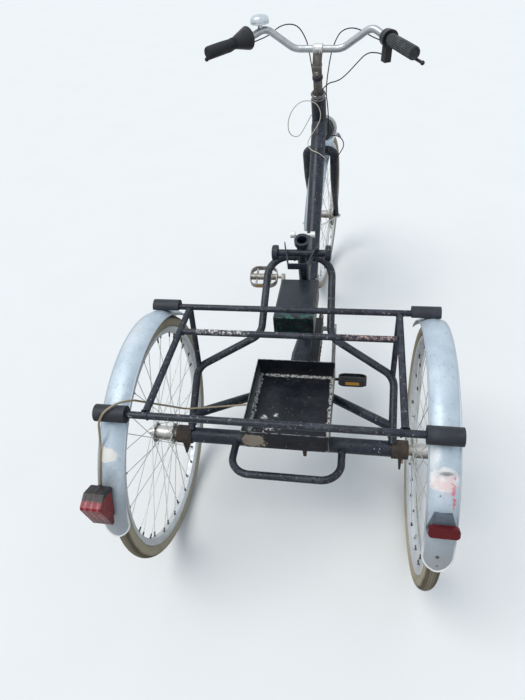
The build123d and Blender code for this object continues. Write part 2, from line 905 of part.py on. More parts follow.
def toothed(radius, teeth):
    """A sprocket's outline: its tips reach the radius."""
    root = radius - tooth_height
    width = 2 * pi * root / teeth * tooth_share
    tooth = Pos(tooth_height / 2, 0) * Rectangle(tooth_height * 3, width)
    return Circle(root) + PolarLocations(root - tooth_height, teeth) * tooth


def make_crankset():
    half = across * (crank_offset + crank_thickness / 2)
    solid = rod(bottom_bracket - half, bottom_bracket + half, crank_axle_radius)
    for side in (-1, 1):
        # the left arm points forward and up, the right arm back and down
        direction = crank_dir * (-side)
        inner = bottom_bracket + across * side * crank_offset
        end = inner + direction * crank_length
        place = Plane(origin=inner, x_dir=direction, z_dir=(1, 0, 0))
        arm = Circle(crank_root_radius) + Pos(crank_length, 0) * Circle(crank_tip_radius)
        arm += make_face(Polyline(
            (0, -crank_root_radius), (crank_length, -crank_tip_radius),
            (crank_length, crank_tip_radius), (0, crank_root_radius), close=True,
        ))
        arm = extrude(place * arm, amount=crank_thickness / 2, both=True)
        reach = across * crank_thickness
        arm -= rod(end - reach, end + reach, pedal_axle_radius + running_clearance)
        solid += arm
    ring = toothed(chainring_radius, chainring_teeth)
    ring -= PolarLocations(chainring_hole_circle, chainring_holes) * Circle(chainring_hole_radius)
    place = Plane(origin=bottom_bracket + across * chain_x, x_dir=(0, 1, 0), z_dir=(1, 0, 0))
    solid += extrude(place * ring, amount=sprocket_thickness / 2, both=True)
    return solid


def make_pedal(side, tip):
    """An oval cage round a core that runs on the pedal's own axle."""
    direction = crank_dir * (-side)
    centre = bottom_bracket + across * side * crank_offset + direction * crank_length
    inner = crank_thickness / 2 + pedal_gap
    axle = rod(
        centre - across * side * crank_thickness / 2, centre + across * side * (inner + pedal_wall),
        pedal_axle_radius,
    )
    body = Location(centre + across * side * (inner + pedal_length / 2))
    walls = pedal_wall * 2
    cage = RectangleRounded(pedal_length, pedal_depth, pedal_corner)
    cage -= RectangleRounded(pedal_length - walls, pedal_depth - walls, pedal_corner - pedal_wall)
    pedal = extrude(cage, amount=pedal_height / 2, both=True)
    pedal += Rot(0, 90, 0) * Cylinder(pedal_core_radius, pedal_length - pedal_wall)
    for place in (-1, 1):
        bar = Box(walls, pedal_depth - pedal_wall, pedal_bar_height)
        pedal += Pos(place * pedal_length / 4, 0, 0) * bar
    return body * Rot(tip, 0, 0) * pedal + axle


parts["crankset"] = make_crankset()
parts["pedal_left"] = make_pedal(-1, left_pedal_tip)
parts["pedal_right"] = make_pedal(1, right_pedal_tip)

# Chain: a closed loop round the chainring and the axle's sprocket


def loop_edges(front_radius, rear_radius):
    """The closed line round two circles, in the plane across the chain."""
    length = (bottom_bracket - rear_axle).length
    tilt = acos((front_radius - rear_radius) / length)
    rear = [(rear_radius * cos(tilt), rear_radius * sin(tilt)), (-rear_radius, 0)]
    rear.append((rear[0][0], -rear[0][1]))
    front = [(length + front_radius * cos(tilt), front_radius * sin(tilt)), (length + front_radius, 0)]
    front.append((front[0][0], -front[0][1]))
    return [
        ThreePointArc(rear[2], rear[1], rear[0]),
        Line(rear[0], front[0]),
        ThreePointArc(front[0], front[1], front[2]),
        Line(front[2], rear[2]),
    ]


def make_chain():
    """A core band with a six-sided link at each pitch, broad and narrow links in turn."""
    inner_front, inner_rear = chainring_radius + chain_clearance, sprocket_radius + chain_clearance
    middle = chain_height / 2
    core = make_face(loop_edges(inner_front + chain_height * 0.75, inner_rear + chain_height * 0.75))
    core -= make_face(loop_edges(inner_front + chain_height * 0.25, inner_rear + chain_height * 0.25))
    chain = extrude(core, amount=chain_core_width / 2, both=True)
    path = Wire(loop_edges(inner_front + middle, inner_rear + middle))
    count = 2 * round(path.length / chain_pitch / 2)
    half, flat = path.length / count / 2 * 0.94, chain_height / 4
    shape = [(-half, -flat), (-flat, -middle), (flat, -middle), (half, -flat)]
    shape += [(half, flat), (flat, middle), (-flat, middle), (-half, flat)]
    link = make_face(Polyline(*shape, close=True))
    links = []
    for i in range(count):
        place = Plane(origin=path @ (i / count), x_dir=path % (i / count), z_dir=(0, 0, 1))
        width = chain_width if i % 2 == 0 else chain_width * 0.75
        links.append(extrude(place * link, amount=width / 2, both=True))
    chain = chain.fuse(*links)
    return Plane(origin=(chain_x, 0, axle_z), x_dir=bottom_bracket - rear_axle, z_dir=(1, 0, 0)) * chain


parts["drive_chain"] = make_chain()


def make_sprocket():
    """The toothed wheel on the right wheel's shaft, with its boss in the axle tube's gap."""
    boss = across * (sprocket_gap - sprocket_thickness)
    centre = rear_axle + across * chain_x
    place = Plane(origin=centre, x_dir=(0, 1, 0), z_dir=(1, 0, 0))
    outline = toothed(sprocket_radius, sprocket_teeth)
    sprocket = extrude(place * outline, amount=sprocket_thickness / 2, both=True)
    sprocket += rod(centre - boss, centre + boss, stub_radius + sprocket_wall)
    return sprocket - rod(centre - boss * 2, centre + boss * 2, stub_radius + running_clearance)


parts["axle_sprocket"] = make_sprocket()

# Chain guard: a channel over the chain's upper run ahead of the tray
guard_channel_start = tray_rear_y + tray_length + weld_gap
guard_channel_end = bottom_bracket_y - guard_channel_setback
guard_channel_top = bottom_bracket_z + chainring_radius + chain_height + guard_channel_depth / 2
guard_channel_length = guard_channel_end - guard_channel_start
channel_centre = Pos(chain_x, (guard_channel_start + guard_channel_end) / 2, guard_channel_top)
channel = channel_centre * Box(guard_channel_width, guard_channel_length, guard_channel_depth)
channel -= channel_centre * Pos(0, 0, -sheet) * Box(
    guard_channel_width - sheet * 2, guard_channel_end, guard_channel_depth
)
guard_tab_x = chain_x - (guard_channel_width - sheet) / 2
guard_tab_low = beam_line(guard_tab_y) + beam_height / 2 + weld_gap
guard_tab_middle = (guard_channel_top + guard_tab_low) / 2
guard_tab_place = Pos(guard_tab_x, guard_tab_y + guard_tab_length / 2, guard_tab_middle)
channel += guard_tab_place * Box(sheet, guard_tab_length, guard_channel_top - guard_tab_low)
parts["chain_guard"] = channel

# Steering: fork, stem, handlebar and what they carry


def make_fork():
    crown = Box(crown_width, crown_depth, crown_height)
    crown = fillet(crown.edges().filter_by(Axis.Z), crown_round)
    place = Plane(origin=head_point(-crown_height / 2 - weld_gap), x_dir=(1, 0, 0), z_dir=up_head)
    fork = place * crown
    fork += rod(head_point(-crown_height), head_point(head_tube_length + headset_height), steerer_radius)
    fork += rod(
        head_point(head_tube_length + weld_gap), head_point(head_tube_length + headset_height), headset_radius
    )
    boss_end = sqrt((guard_radius + guard_boss_gap) ** 2 - fork_offset**2) - fork_length
    fork += rod(head_point(-crown_height), head_point(boss_end), guard_boss_radius)
    for side in (-1, 1):
        foot = front_axle + across * side * blade_x
        crest, taper_end, knee = [
            head_point(-along, 0, side * blade_x) for along in (crown_height, blade_taper_end, blade_straight)
        ]
        fork += rod(crest, taper_end, blade_top_radius, blade_foot_radius)
        fork += pipe([taper_end, knee, foot], blade_bend, blade_foot_radius)
        fork += rod(foot - across * dropout_half, foot + across * dropout_half, dropout_radius)
        nut = front_axle + across * side * (blade_x + dropout_half)
        fork += rod(nut, nut + across * side * front_axle_overhang / 2, front_nut_radius)
    axle = across * (blade_x + front_axle_overhang)
    return fork + rod(front_axle - axle, front_axle + axle, front_axle_radius)


def make_guard_stays():
    """A wire on each side from the front axle's end back to the mudguard's edge."""
    solids = []
    turn = radians(guard_stay_turn)
    radius = guard_radius - guard_crown
    for side in (-1, 1):
        start = front_axle + across * side * (blade_x + dropout_half + front_axle_overhang * 0.75)
        edge = guard_width / 2 + guard_bead_radius + guard_stay_radius
        end = front_axle + Vector(side * edge, -radius * sin(turn), radius * cos(turn))
        stay = rod(start, end, guard_stay_radius)
        stay -= rod(start - across * dropout_half, start + across * dropout_half, front_axle_radius + weld_gap)
        solids.append(stay.solids().sort_by(SortBy.VOLUME)[-1])
    return group(solids)


parts["fork"] = make_fork()
parts["front_guard_stays"] = make_guard_stays()

# Stem and handlebar: the bar's right half is listed outward from its middle, and mirrored
bar_centre = head_point(bar_along, bar_reach)
bar_side = [
    bar_centre + Vector(bar_flat, 0, 0),
    bar_centre + Vector(bar_rise_x, bar_rise_y, bar_rise_z),
    bar_centre + Vector(bar_shoulder_x, bar_shoulder_y, bar_shoulder_z),
    bar_centre + Vector(bar_tip_x, bar_tip_y, bar_tip_z),
]
bar_bends = [bar_flat_bend, bar_rise_bend, bar_shoulder_bend]
bar_run = list(reversed(mirrored(bar_side))) + bar_side
parts["handlebar"] = pipe(bar_run, list(reversed(bar_bends)) + bar_bends, bar_radius)


def make_stem():
    foot = head_point(head_tube_length + headset_height + weld_gap)
    knee = head_point(bar_along - bar_reach)
    half = across * (bar_clamp_width / 2)
    stem = rod(foot, knee, stem_radius) + rod(knee, bar_centre, stem_radius)
    stem += Location(knee) * Sphere(stem_radius)
    stem += rod(bar_centre - half, bar_centre + half, bar_clamp_radius)
    return stem - rod(bar_centre - half * 2, bar_centre + half * 2, bar_radius + clamp_clearance)


parts["stem"] = make_stem()

# Grips, and the housings that clamp the bar inboard of them with a brake lever each
controls = (
    # side, grip length, housing length, its radius at the grip, its radius at its inner end, lever length,
    # how far a bracket hangs below the bar
    (-1, 112.0, 60.0, 17.0, 35.0, 135.0, 0.0),
    (1, 148.0, 28.0, 27.0, 24.0, 184.0, 66.0),
)


def bar_end(side):
    """The bar's tip on one side and the direction of its last stretch, outward."""
    points = bar_side if side > 0 else mirrored(bar_side)
    return points[3], (points[3] - points[2]).normalized()


def make_grips():
    """Rubber sleeves, fullest towards their closed and rounded tips."""
    solids = []
    for side, length, *_ in controls:
        tip, line = bar_end(side)
        neck = grip_radius - grip_waist
        profile = [(0, 0), (grip_radius - grip_round, 0), (grip_radius - grip_round / 3, grip_round / 3)]
        profile += [(grip_radius, grip_round), (grip_radius, length / 2), (neck, length), (0, length)]
        face = make_face(Polyline(*profile, close=True))
        place = Plane(origin=tip + line * grip_tip_overhang, z_dir=-line)
        sleeve = place * revolve(Plane.XZ * face, Axis.Z, 360)
        bore = rod(tip + line * weld_gap, tip - line * length, bar_radius + clamp_clearance)
        solids.append(sleeve - bore)
    return group(solids)


def housing_ends(side, grip, length):
    """The middles of a housing's outer and inner faces, the direction outward, and downward across it."""
    tip, line = bar_end(side)
    start = tip - line * (grip - grip_tip_overhang + weld_gap)
    down = Vector(0, 0, -1)
    return start, start - line * length, line, (down - line * down.dot(line)).normalized()


def make_levers():
    solids = []
    for side, grip, length, outer_radius, inner_radius, reach, bracket_drop in controls:
        start, end, line, down = housing_ends(side, grip, length)
        # the lever lies ahead of the grip and a little below it
        aside = Vector(0, 0.85, -0.5)
        aside = (aside - line * aside.dot(line)).normalized()
        root = (start + end) / 2 + aside * lever_root_lift
        knee = start + aside * lever_blade_lift
        ball = root + line * reach + aside * (lever_tip_lift - lever_root_lift)
        bore = rod(start + line, end - line, bar_radius + clamp_clearance)
        housing = rod(start, end, outer_radius, inner_radius)
        if bracket_drop:
            bracket = Plane(origin=(start + end) / 2 + down * bracket_drop / 2, x_dir=line, z_dir=down)
            housing += bracket * Box(bracket_length, bracket_width, bracket_drop)
        housing -= bore
        housing += pipe([root, knee, ball], lever_bend, lever_radius)
        solids.append(housing + Location(ball) * Sphere(lever_ball_radius))
    return group(solids)


parts["grips"] = make_grips()
parts["brake_levers"] = make_levers()


def make_bell():
    """A dome on a short post that clamps the left shoulder of the bar."""
    a, b = mirrored(bar_side)[1], mirrored(bar_side)[2]
    base = a + (b - a) * bell_share + Vector(0, 0, bar_radius + weld_gap * 3)
    top = base + Vector(0, 0, bell_post_height)
    dome = rod(top, top + Vector(0, 0, bell_height), bell_radius)
    dome = fillet(dome.faces().sort_by(Axis.Z)[-1].edges(), bell_height * 0.8)
    post = rod(base - Vector(0, 0, bar_radius), top + Vector(0, 0, bell_height / 2), bell_post_radius)
    run = b - a
    return dome + (post - rod(a - run, b + run, bar_radius + weld_gap)).solids().sort_by(Axis.Z)[-1]


parts["bell"] = make_bell()

# Headlamp: a shell that widens forward to a broad rim, held by a lug on the fork crown
lamp_centre = head_point(headlamp_along, headlamp_ahead)


def make_headlamp():
    back, rim = -headlamp_depth / 2, headlamp_depth / 2 - headlamp_rim_depth
    front = headlamp_depth / 2
    profile = [
        (back, 0),
        (back, headlamp_back_radius),
        (back + headlamp_depth * 0.3, headlamp_shell_radius * 0.92),
        (rim - headlamp_rim_depth, headlamp_shell_radius),
        (rim, headlamp_shell_radius),
        (rim, 0),
    ]
    bezel = [
        (rim + weld_gap, 0),
        (rim + weld_gap, headlamp_radius),
        (front - headlamp_rim_depth / 2, headlamp_radius),
        (front, headlamp_radius - headlamp_rim_depth / 2),
        (front, 0),
    ]
    place = Location(lamp_centre) * Rot(0, 0, 90)
    faces = [make_face(Polyline(*line, close=True)) for line in (profile, bezel)]
    return [place * revolve(face, Axis.X, 360) for face in faces]


parts["headlamp"], parts["headlamp_rim"] = make_headlamp()
lug_start = head_point(-crown_height / 2)
lug_end = Vector(0, lamp_centre.Y - headlamp_depth / 2 - weld_gap, lug_start.Z)
parts["fork"] += rod(lug_start, lug_end, headlamp_lug_radius)

def cable_point(x, behind, z):
    """A point of a cable's route, by its distance behind the front axle."""
    return Vector(x, wheelbase - behind, z)


# Control cables: one leaves each housing, arches ahead of the bar and runs down on to the headlamp's lug,
# and a third leaves the right housing's bracket for the ring over the head tube
cable_runs = (
    # side, points between its two ends, the bend at each inner point
    (
        -1,
        [
            cable_point(-165, 201, 1082), cable_point(-112, 197, 1112), cable_point(-58, 193, 1104),
            cable_point(-36, 187, 1048),
            Vector(-cable_lug_side, lug_end.Y - cable_lug_setback, 830),
        ],
        [20.0, 22.0, 24.0, 24.0, 40.0, 50.0],
    ),
    (
        1,
        [
            cable_point(168, 193, 1074), cable_point(102, 187, 1098), cable_point(58, 191, 1076),
            cable_point(36, 185, 1018),
            Vector(cable_lug_side, lug_end.Y - cable_lug_setback, 820),
        ],
        [20.0, 26.0, 26.0, 26.0, 40.0, 50.0],
    ),
)
bracket_cable_run = [
    cable_point(164, 253, 1042), cable_point(112, 259, 988), cable_point(82, 261, 956),
    cable_point(34, 259, 950),
]
bracket_cable_bends = [16.0, 30.0, 30.0, 22.0, 20.0]


def make_cables():
    solids = []
    lug_lift = sqrt(headlamp_lug_radius**2 - (cable_lug_side - cable_radius) ** 2) + weld_gap
    for side, points, bends in cable_runs:
        grip, length = [row[1:3] for row in controls if row[0] == side][0]
        start, end, line, down = housing_ends(side, grip, length)
        mouth = end - line * weld_gap + down * cable_drop
        foot = Vector(points[-1].X, points[-1].Y, lug_start.Z + lug_lift)
        solids.append(pipe([mouth, mouth - line * cable_straight, *points, foot], bends, cable_radius))
    # the last housing is the right one, with the third cable on its bracket
    mouth = (start + end) / 2 - line * (bracket_length / 2 + weld_gap) + down * bracket_cable_drop
    foot = head_point(cable_ring_along, -(headset_radius + cable_radius))
    run = [mouth, mouth - line * cable_straight, *bracket_cable_run, foot]
    return group(solids + [pipe(run, bracket_cable_bends, cable_radius)])


parts["control_cables"] = make_cables()

# The steering and what it carries stand turned a little to the right
steering_axis = Axis(head_foot, up_head)
front_end = ("fork", "front_guard_stays", "stem", "handlebar", "grips", "brake_levers", "bell", "headlamp")
front_end += ("headlamp_rim", "control_cables", "front_mudguard", "front_tyre", "front_rim")
front_end += ("front_spokes", "front_hub")
for name in front_end:
    parts[name] = parts[name].rotate(steering_axis, -steer_turn)

# Lamp lead: it lies on the left mudguard, crosses the rear rail's end cap, runs tight down to the foot of
# the left chassis tube, turns there and runs straight to the tray's wall
lamp_lead_run = [
    Vector(-half_track - 23, -298.0, 511.2), Vector(-half_track - 23, -284.2, 534.5),
    Vector(-half_track - 22, -244.2, 582.1), Vector(-half_track - 15, -230, 640),
    Vector(-half_track - 1, -220, 664), Vector(-half_track + 21, -200, 671),
    Vector(-half_track + 42, -168, 650), Vector(-half_track + 63, 36, 398),
    Vector(-tray_width / 2 - weld_gap, 47, 419),
]
lamp_lead_bends = [320.0, 60.0, 40.0, 30.0, 30.0, 60.0, 20.0]
parts["lamp_lead"] = pipe(lamp_lead_run, lamp_lead_bends, cable_radius)

# Loop wire: stiff single wire that leaves the head tube's left side, loops out and crosses the main tube
loop_wire_run = [
    Vector(-27.3, 1099.5, 826), Vector(-50, 1080, 790), Vector(-72, 1058, 760), Vector(-105, 1048, 776),
    Vector(-108, 1046, 824), Vector(-84, 1046, 872), Vector(-42, 1046, 896), Vector(4, 1046, 878),
    Vector(14, 1044, 830), Vector(-14, 1038, 788), Vector(-40, 1030, 752), Vector(-24, 996, 738),
    Vector(14, 980, 730), Vector(32, 990, 706),
]


def tangent_bends(points):
    """The largest arc at each inner point that its two runs allow."""
    bends = []
    for before, point, after in zip(points, points[1:], points[2:]):
        into, out = point - before, after - point
        half = radians(into.get_angle(out)) / 2
        bends.append(0.45 * min(into.length, out.length) / tan(half))
    return bends


loop_wire_bends = tangent_bends(loop_wire_run)
parts["loop_wire"] = pipe(loop_wire_run, loop_wire_bends, loop_wire_radius)
print("loop wire bends", [round(bend, 1) for bend in loop_wire_bends])

# Every piece moves so that the origin lies on the floor at the middle of the footprint
boxes = [shape.bounding_box() for shape in parts.values()]
middle_y = (min(b.min.Y for b in boxes) + max(b.max.Y for b in boxes)) / 2
for name, shape in parts.items():
    export_step(Location((0, -middle_y, 0)) * shape, f"parts/{name}.step")
print("rear axle at y", round(-middle_y, 3))
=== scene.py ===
from math import cos, degrees, pi, radians, sin, sqrt

import bmesh
import bpy
from mathutils import Matrix, Vector, noise


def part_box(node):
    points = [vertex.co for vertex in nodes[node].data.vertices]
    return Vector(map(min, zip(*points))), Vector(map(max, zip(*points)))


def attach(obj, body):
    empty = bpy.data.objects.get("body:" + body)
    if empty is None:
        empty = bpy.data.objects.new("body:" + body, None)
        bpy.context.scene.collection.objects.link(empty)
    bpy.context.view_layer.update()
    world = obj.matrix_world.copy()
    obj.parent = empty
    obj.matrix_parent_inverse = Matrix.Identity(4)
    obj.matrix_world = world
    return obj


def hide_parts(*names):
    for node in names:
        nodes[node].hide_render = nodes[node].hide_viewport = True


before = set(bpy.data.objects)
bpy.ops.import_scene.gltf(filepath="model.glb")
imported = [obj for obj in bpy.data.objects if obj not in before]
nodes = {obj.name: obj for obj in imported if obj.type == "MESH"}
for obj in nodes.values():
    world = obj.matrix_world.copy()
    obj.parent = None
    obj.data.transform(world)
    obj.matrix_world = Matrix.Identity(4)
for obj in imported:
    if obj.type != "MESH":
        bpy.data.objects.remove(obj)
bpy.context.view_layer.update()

low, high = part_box("axle_tube")
axle_y = (low[1] + high[1]) / 2


def at(x, y, z):
    """A point given in millimetres from the floor under the middle of the rear axle."""
    return Vector((x / 1000, y / 1000 + axle_y, z / 1000))


# Camera at the photograph's place: turned left, tipped down and rolled


def place_camera():
    yaw, pitch, roll = -0.2329, 0.7202, -0.1121
    forward = Vector((sin(yaw) * cos(pitch), cos(yaw) * cos(pitch), -sin(pitch)))
    right = Vector((cos(yaw), -sin(yaw), 0))
    up = right.cross(forward)
    camera_x = cos(roll) * right + sin(roll) * up
    camera_y = cos(roll) * up - sin(roll) * right
    data = bpy.data.cameras.new("camera")
    data.sensor_fit = "VERTICAL"
    data.sensor_height = 36
    data.lens = 27.44
    camera = bpy.data.objects.new("camera", data)
    place = Matrix((camera_x, camera_y, -forward)).transposed().to_4x4()
    place.translation = at(169.6, -904.7, 1478.1)
    camera.matrix_world = place
    bpy.context.scene.collection.objects.link(camera)
    bpy.context.scene.camera = camera


place_camera()

# Wires and cables: round strands along smooth curves


def strand(name, points, radius, look=None):
    curve = bpy.data.curves.new(name, "CURVE")
    curve.dimensions = "3D"
    spline = curve.splines.new("NURBS")
    spline.points.add(len(points) - 1)
    for place, point in zip(spline.points, points):
        place.co = (*point, 1)
        place.radius = radius
    spline.order_u = 3
    spline.use_endpoint_u = True
    spline.resolution_u = 8
    curve.bevel_depth = 1
    curve.bevel_resolution = 2
    curve.use_fill_caps = True
    if look:
        curve.materials.append(look)
    wire = bpy.data.objects.new(name, curve)
    bpy.context.scene.collection.objects.link(wire)
    return wire


# The stiff loop wire beside the head tube, along the route that its solid has
loop_wire_points = (
    (-27.3, 1099.5, 826), (-50, 1080, 790), (-72, 1058, 760), (-105, 1048, 776), (-108, 1046, 824),
    (-84, 1046, 872), (-42, 1046, 896), (4, 1046, 878), (14, 1044, 830), (-14, 1038, 788),
    (-40, 1030, 752), (-24, 996, 738), (14, 980, 730), (32, 990, 706),
)


def make_loop_wire():
    points = [at(*point) for point in loop_wire_points]
    wire = strand("loop_wire_strand", points, 0.0016)
    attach(wire, "frame")
    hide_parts("loop_wire")
    return wire


loop_wire = make_loop_wire()

# Materials, all procedural, in the object's own metres


class Shader:
    """A small helper that adds nodes to one material and wires them to its shader."""

    def __init__(self, name, **constants):
        self.material = bpy.data.materials.new(name)
        self.material.use_nodes = True
        self.tree = self.material.node_tree
        self.surface = self.tree.nodes["Principled BSDF"]
        for key, value in constants.items():
            self.surface.inputs[key.replace("_", " ")].default_value = value
        self.point = self.add("ShaderNodeTexCoord").outputs["Object"]

    def add(self, kind, **options):
        node = self.tree.nodes.new(kind)
        for key, value in options.items():
            setattr(node, key, value)
        return node

    def feed(self, socket, value):
        if isinstance(value, bpy.types.NodeSocket):
            self.tree.links.new(value, socket)
        else:
            socket.default_value = value

    def noise(self, scale, detail=4, rough=0.6, point=None):
        node = self.add("ShaderNodeTexNoise")
        self.feed(node.inputs["Vector"], point or self.point)
        self.feed(node.inputs["Scale"], scale)
        self.feed(node.inputs["Detail"], detail)
        self.feed(node.inputs["Roughness"], rough)
        return node.outputs["Fac"]

    def stretched(self, x, y, z, turn=(0, 0, 0)):
        node = self.add("ShaderNodeMapping")
        self.feed(node.inputs["Vector"], self.point)
        self.feed(node.inputs["Scale"], (x, y, z))
        self.feed(node.inputs["Rotation"], turn)
        return node.outputs["Vector"]

    def cells(self, scale, point=None):
        node = self.add("ShaderNodeTexVoronoi")
        self.feed(node.inputs["Vector"], point or self.point)
        self.feed(node.inputs["Scale"], scale)
        return node.outputs["Distance"]

    def range(self, value, low, high, to_low=0.0, to_high=1.0):
        node = self.add("ShaderNodeMapRange", interpolation_type="SMOOTHSTEP")
        self.feed(node.inputs["Value"], value)
        for key, number in (("From Min", low), ("From Max", high), ("To Min", to_low), ("To Max", to_high)):
            self.feed(node.inputs[key], number)
        return node.outputs["Result"]

    def math(self, operation, a, b=0.0):
        node = self.add("ShaderNodeMath", operation=operation)
        self.feed(node.inputs[0], a)
        self.feed(node.inputs[1], b)
        return node.outputs[0]

    def times(self, *factors):
        product = factors[0]
        for factor in factors[1:]:
            product = self.math("MULTIPLY", product, factor)
        return product

    def plus(self, a, b):
        return self.math("ADD", a, b)

    def minus(self, a, b):
        return self.math("SUBTRACT", a, b)

    def vector(self, operation, a, b=(0, 0, 0)):
        node = self.add("ShaderNodeVectorMath", operation=operation)
        self.feed(node.inputs[0], a)
        self.feed(node.inputs[1], b)
        return node.outputs["Value" if operation in ("LENGTH", "DOT_PRODUCT", "DISTANCE") else "Vector"]

    def axis(self, name, point=None):
        node = self.add("ShaderNodeSeparateXYZ")
        self.feed(node.inputs[0], point or self.point)
        return node.outputs[name]

    def upward(self):
        """1 on faces that look up, 0 on those that look down."""
        normal = self.add("ShaderNodeNewGeometry").outputs["Normal"]
        return self.range(self.axis("Z", normal), -0.2, 0.9)

    def near(self, centre, radius, soft=0.5, squash=(1, 1, 1), ragged=0.0):
        """1 inside a blob round a point, fading to 0 at its ragged rim."""
        shift = self.vector("SUBTRACT", self.point, centre)
        distance = self.vector("LENGTH", self.vector("MULTIPLY", shift, squash))
        if ragged:
            wobble = self.minus(self.noise(90, 5, 0.7), 0.5)
            distance = self.plus(distance, self.times(wobble, ragged * radius * 2))
        return self.range(distance, radius * (1 - soft), radius, 1, 0)

    def mix(self, amount, a, b):
        node = self.add("ShaderNodeMix", data_type="RGBA")
        self.feed(node.inputs[0], amount)
        for socket, value in ((node.inputs[6], a), (node.inputs[7], b)):
            self.feed(socket, value if isinstance(value, bpy.types.NodeSocket) else (*value, 1))
        return node.outputs[2]

    def colour(self, value):
        self.feed(self.surface.inputs["Base Color"], value)

    def roughness(self, value):
        self.feed(self.surface.inputs["Roughness"], value)

    def bump(self, height, strength=0.3, depth=0.001):
        node = self.add("ShaderNodeBump")
        self.feed(node.inputs["Height"], height)
        self.feed(node.inputs["Strength"], strength)
        self.feed(node.inputs["Distance"], depth)
        self.feed(self.surface.inputs["Normal"], node.outputs["Normal"])


def worn_paint(name, base, dusty, chip, rust, dust=0.5, chips=0.4, seed=0, tint=None):
    """Old paint: mottled with dust, flecked with chips down to pale metal and rust spots round them."""
    s = Shader(name, Specular_IOR_Level=0.35)
    cloud = s.noise(16 + seed, 6, 0.65)
    fine = s.noise(260 + seed, 3, 0.6)
    fleck = s.noise(105 + seed * 3, 4, 0.75)
    flake = s.noise(60 + seed * 2, 6, 0.8)
    film = s.plus(s.times(s.range(cloud, 0.42, 0.72), 0.7), s.times(s.range(fine, 0.5, 0.68), 0.5))
    film = s.times(film, dust, s.range(s.upward(), 0, 1, 0.35, 1))
    paint = s.mix(film, base, dusty)
    dark = tuple(c * 0.35 for c in base)
    paint = s.mix(s.range(s.noise(70 + seed, 5, 0.7), 0.5, 0.66), paint, dark)
    ring = s.range(fleck, 0.64 - chips * 0.09, 0.68 - chips * 0.08)
    paint = s.mix(s.times(ring, 0.7), paint, rust)
    speck = s.range(fleck, 0.68 - chips * 0.09, 0.70 - chips * 0.08)
    paint = s.mix(s.times(speck, s.range(flake, 0.42, 0.56)), paint, chip)
    if tint:
        paint = tint(s, paint)
    s.colour(paint)
    s.roughness(s.range(s.plus(cloud, s.times(speck, 0.4)), 0.3, 0.95, 0.3, 0.65))
    s.bump(s.minus(s.times(fine, 0.4), speck), 0.4, 0.0006)
    return s.material


def bare_metal(name, base, dark, roughness=0.25, metal=1.0, grime=0.4, tint=None):
    """Plain or plated metal with fingerprints of grime and fine scratches."""
    s = Shader(name, Metallic=metal)
    cloud = s.noise(60, 5, 0.65)
    scratch = s.noise(40, 4, 0.7, s.stretched(1, 12, 12))
    amount = s.times(s.range(cloud, 0.42, 0.72), grime)
    paint = s.mix(amount, base, dark)
    if tint:
        paint = tint(s, paint)
    s.colour(paint)
    wear = s.plus(cloud, s.times(scratch, 0.3))
    s.roughness(s.range(wear, 0.35, 0.95, roughness, roughness + 0.3))
    s.bump(scratch, 0.12, 0.0003)
    return s.material


def moulded(name, base, pale, roughness=0.5, scuff=0.3):
    """Moulded plastic or rubber: a fine grain, with pale scuffs and dust on top."""
    s = Shader(name, Specular_IOR_Level=0.4)
    cloud = s.noise(35, 6, 0.7)
    s.colour(s.mix(s.times(s.range(cloud, 0.4, 0.75), scuff, s.upward()), base, pale))
    s.roughness(s.range(cloud, 0.3, 0.8, roughness, min(roughness + 0.3, 0.95)))
    s.bump(s.times(s.noise(600, 2, 0.5), 0.3), 0.25, 0.0003)
    return s.material


def rusty(name, base, dark, pale, roughness=0.75):
    s = Shader(name, Metallic=0.1)
    cloud = s.noise(45, 7, 0.7)
    fine = s.noise(300, 5, 0.75)
    colour = s.mix(s.range(cloud, 0.35, 0.65), dark, base)
    colour = s.mix(s.times(s.range(fine, 0.55, 0.72), 0.5), colour, pale)
    s.colour(colour)
    s.roughness(s.range(cloud, 0.3, 0.7, roughness, 0.95))
    s.bump(s.plus(cloud, s.times(fine, 0.5)), 0.6, 0.0012)
    return s.material


def red_plastic(name, base, sky_sheen, dirt, ribs, top, tint=None):
    """Red lens plastic: moulded ribs, a pinkish sheen where it faces the sky, and dirt in its corners."""
    s = Shader(name, IOR=1.49, Specular_IOR_Level=0.3)
    cloud = s.noise(40, 5, 0.65)
    wave = s.math("SINE", s.times(s.axis("X"), 2 * pi / ribs))
    # painted sheen: the ribs that face the sky are mixed towards the pinkish colour
    stripe = s.times(s.range(wave, -0.2, 0.9), s.range(s.upward(), 0.3, 0.8), top)
    colour = s.mix(stripe, base, sky_sheen)
    edge = s.times(s.range(s.noise(75, 5, 0.7), 0.5, 0.66), 0.6)
    colour = s.mix(edge, colour, dirt)
    if tint:
        colour = tint(s, colour)
    s.colour(colour)
    s.roughness(s.range(cloud, 0.3, 0.8, 0.2, 0.45))
    s.bump(s.plus(s.times(s.cells(160), 0.8), s.times(wave, 0.4)), 0.4, 0.0012)
    return s.material


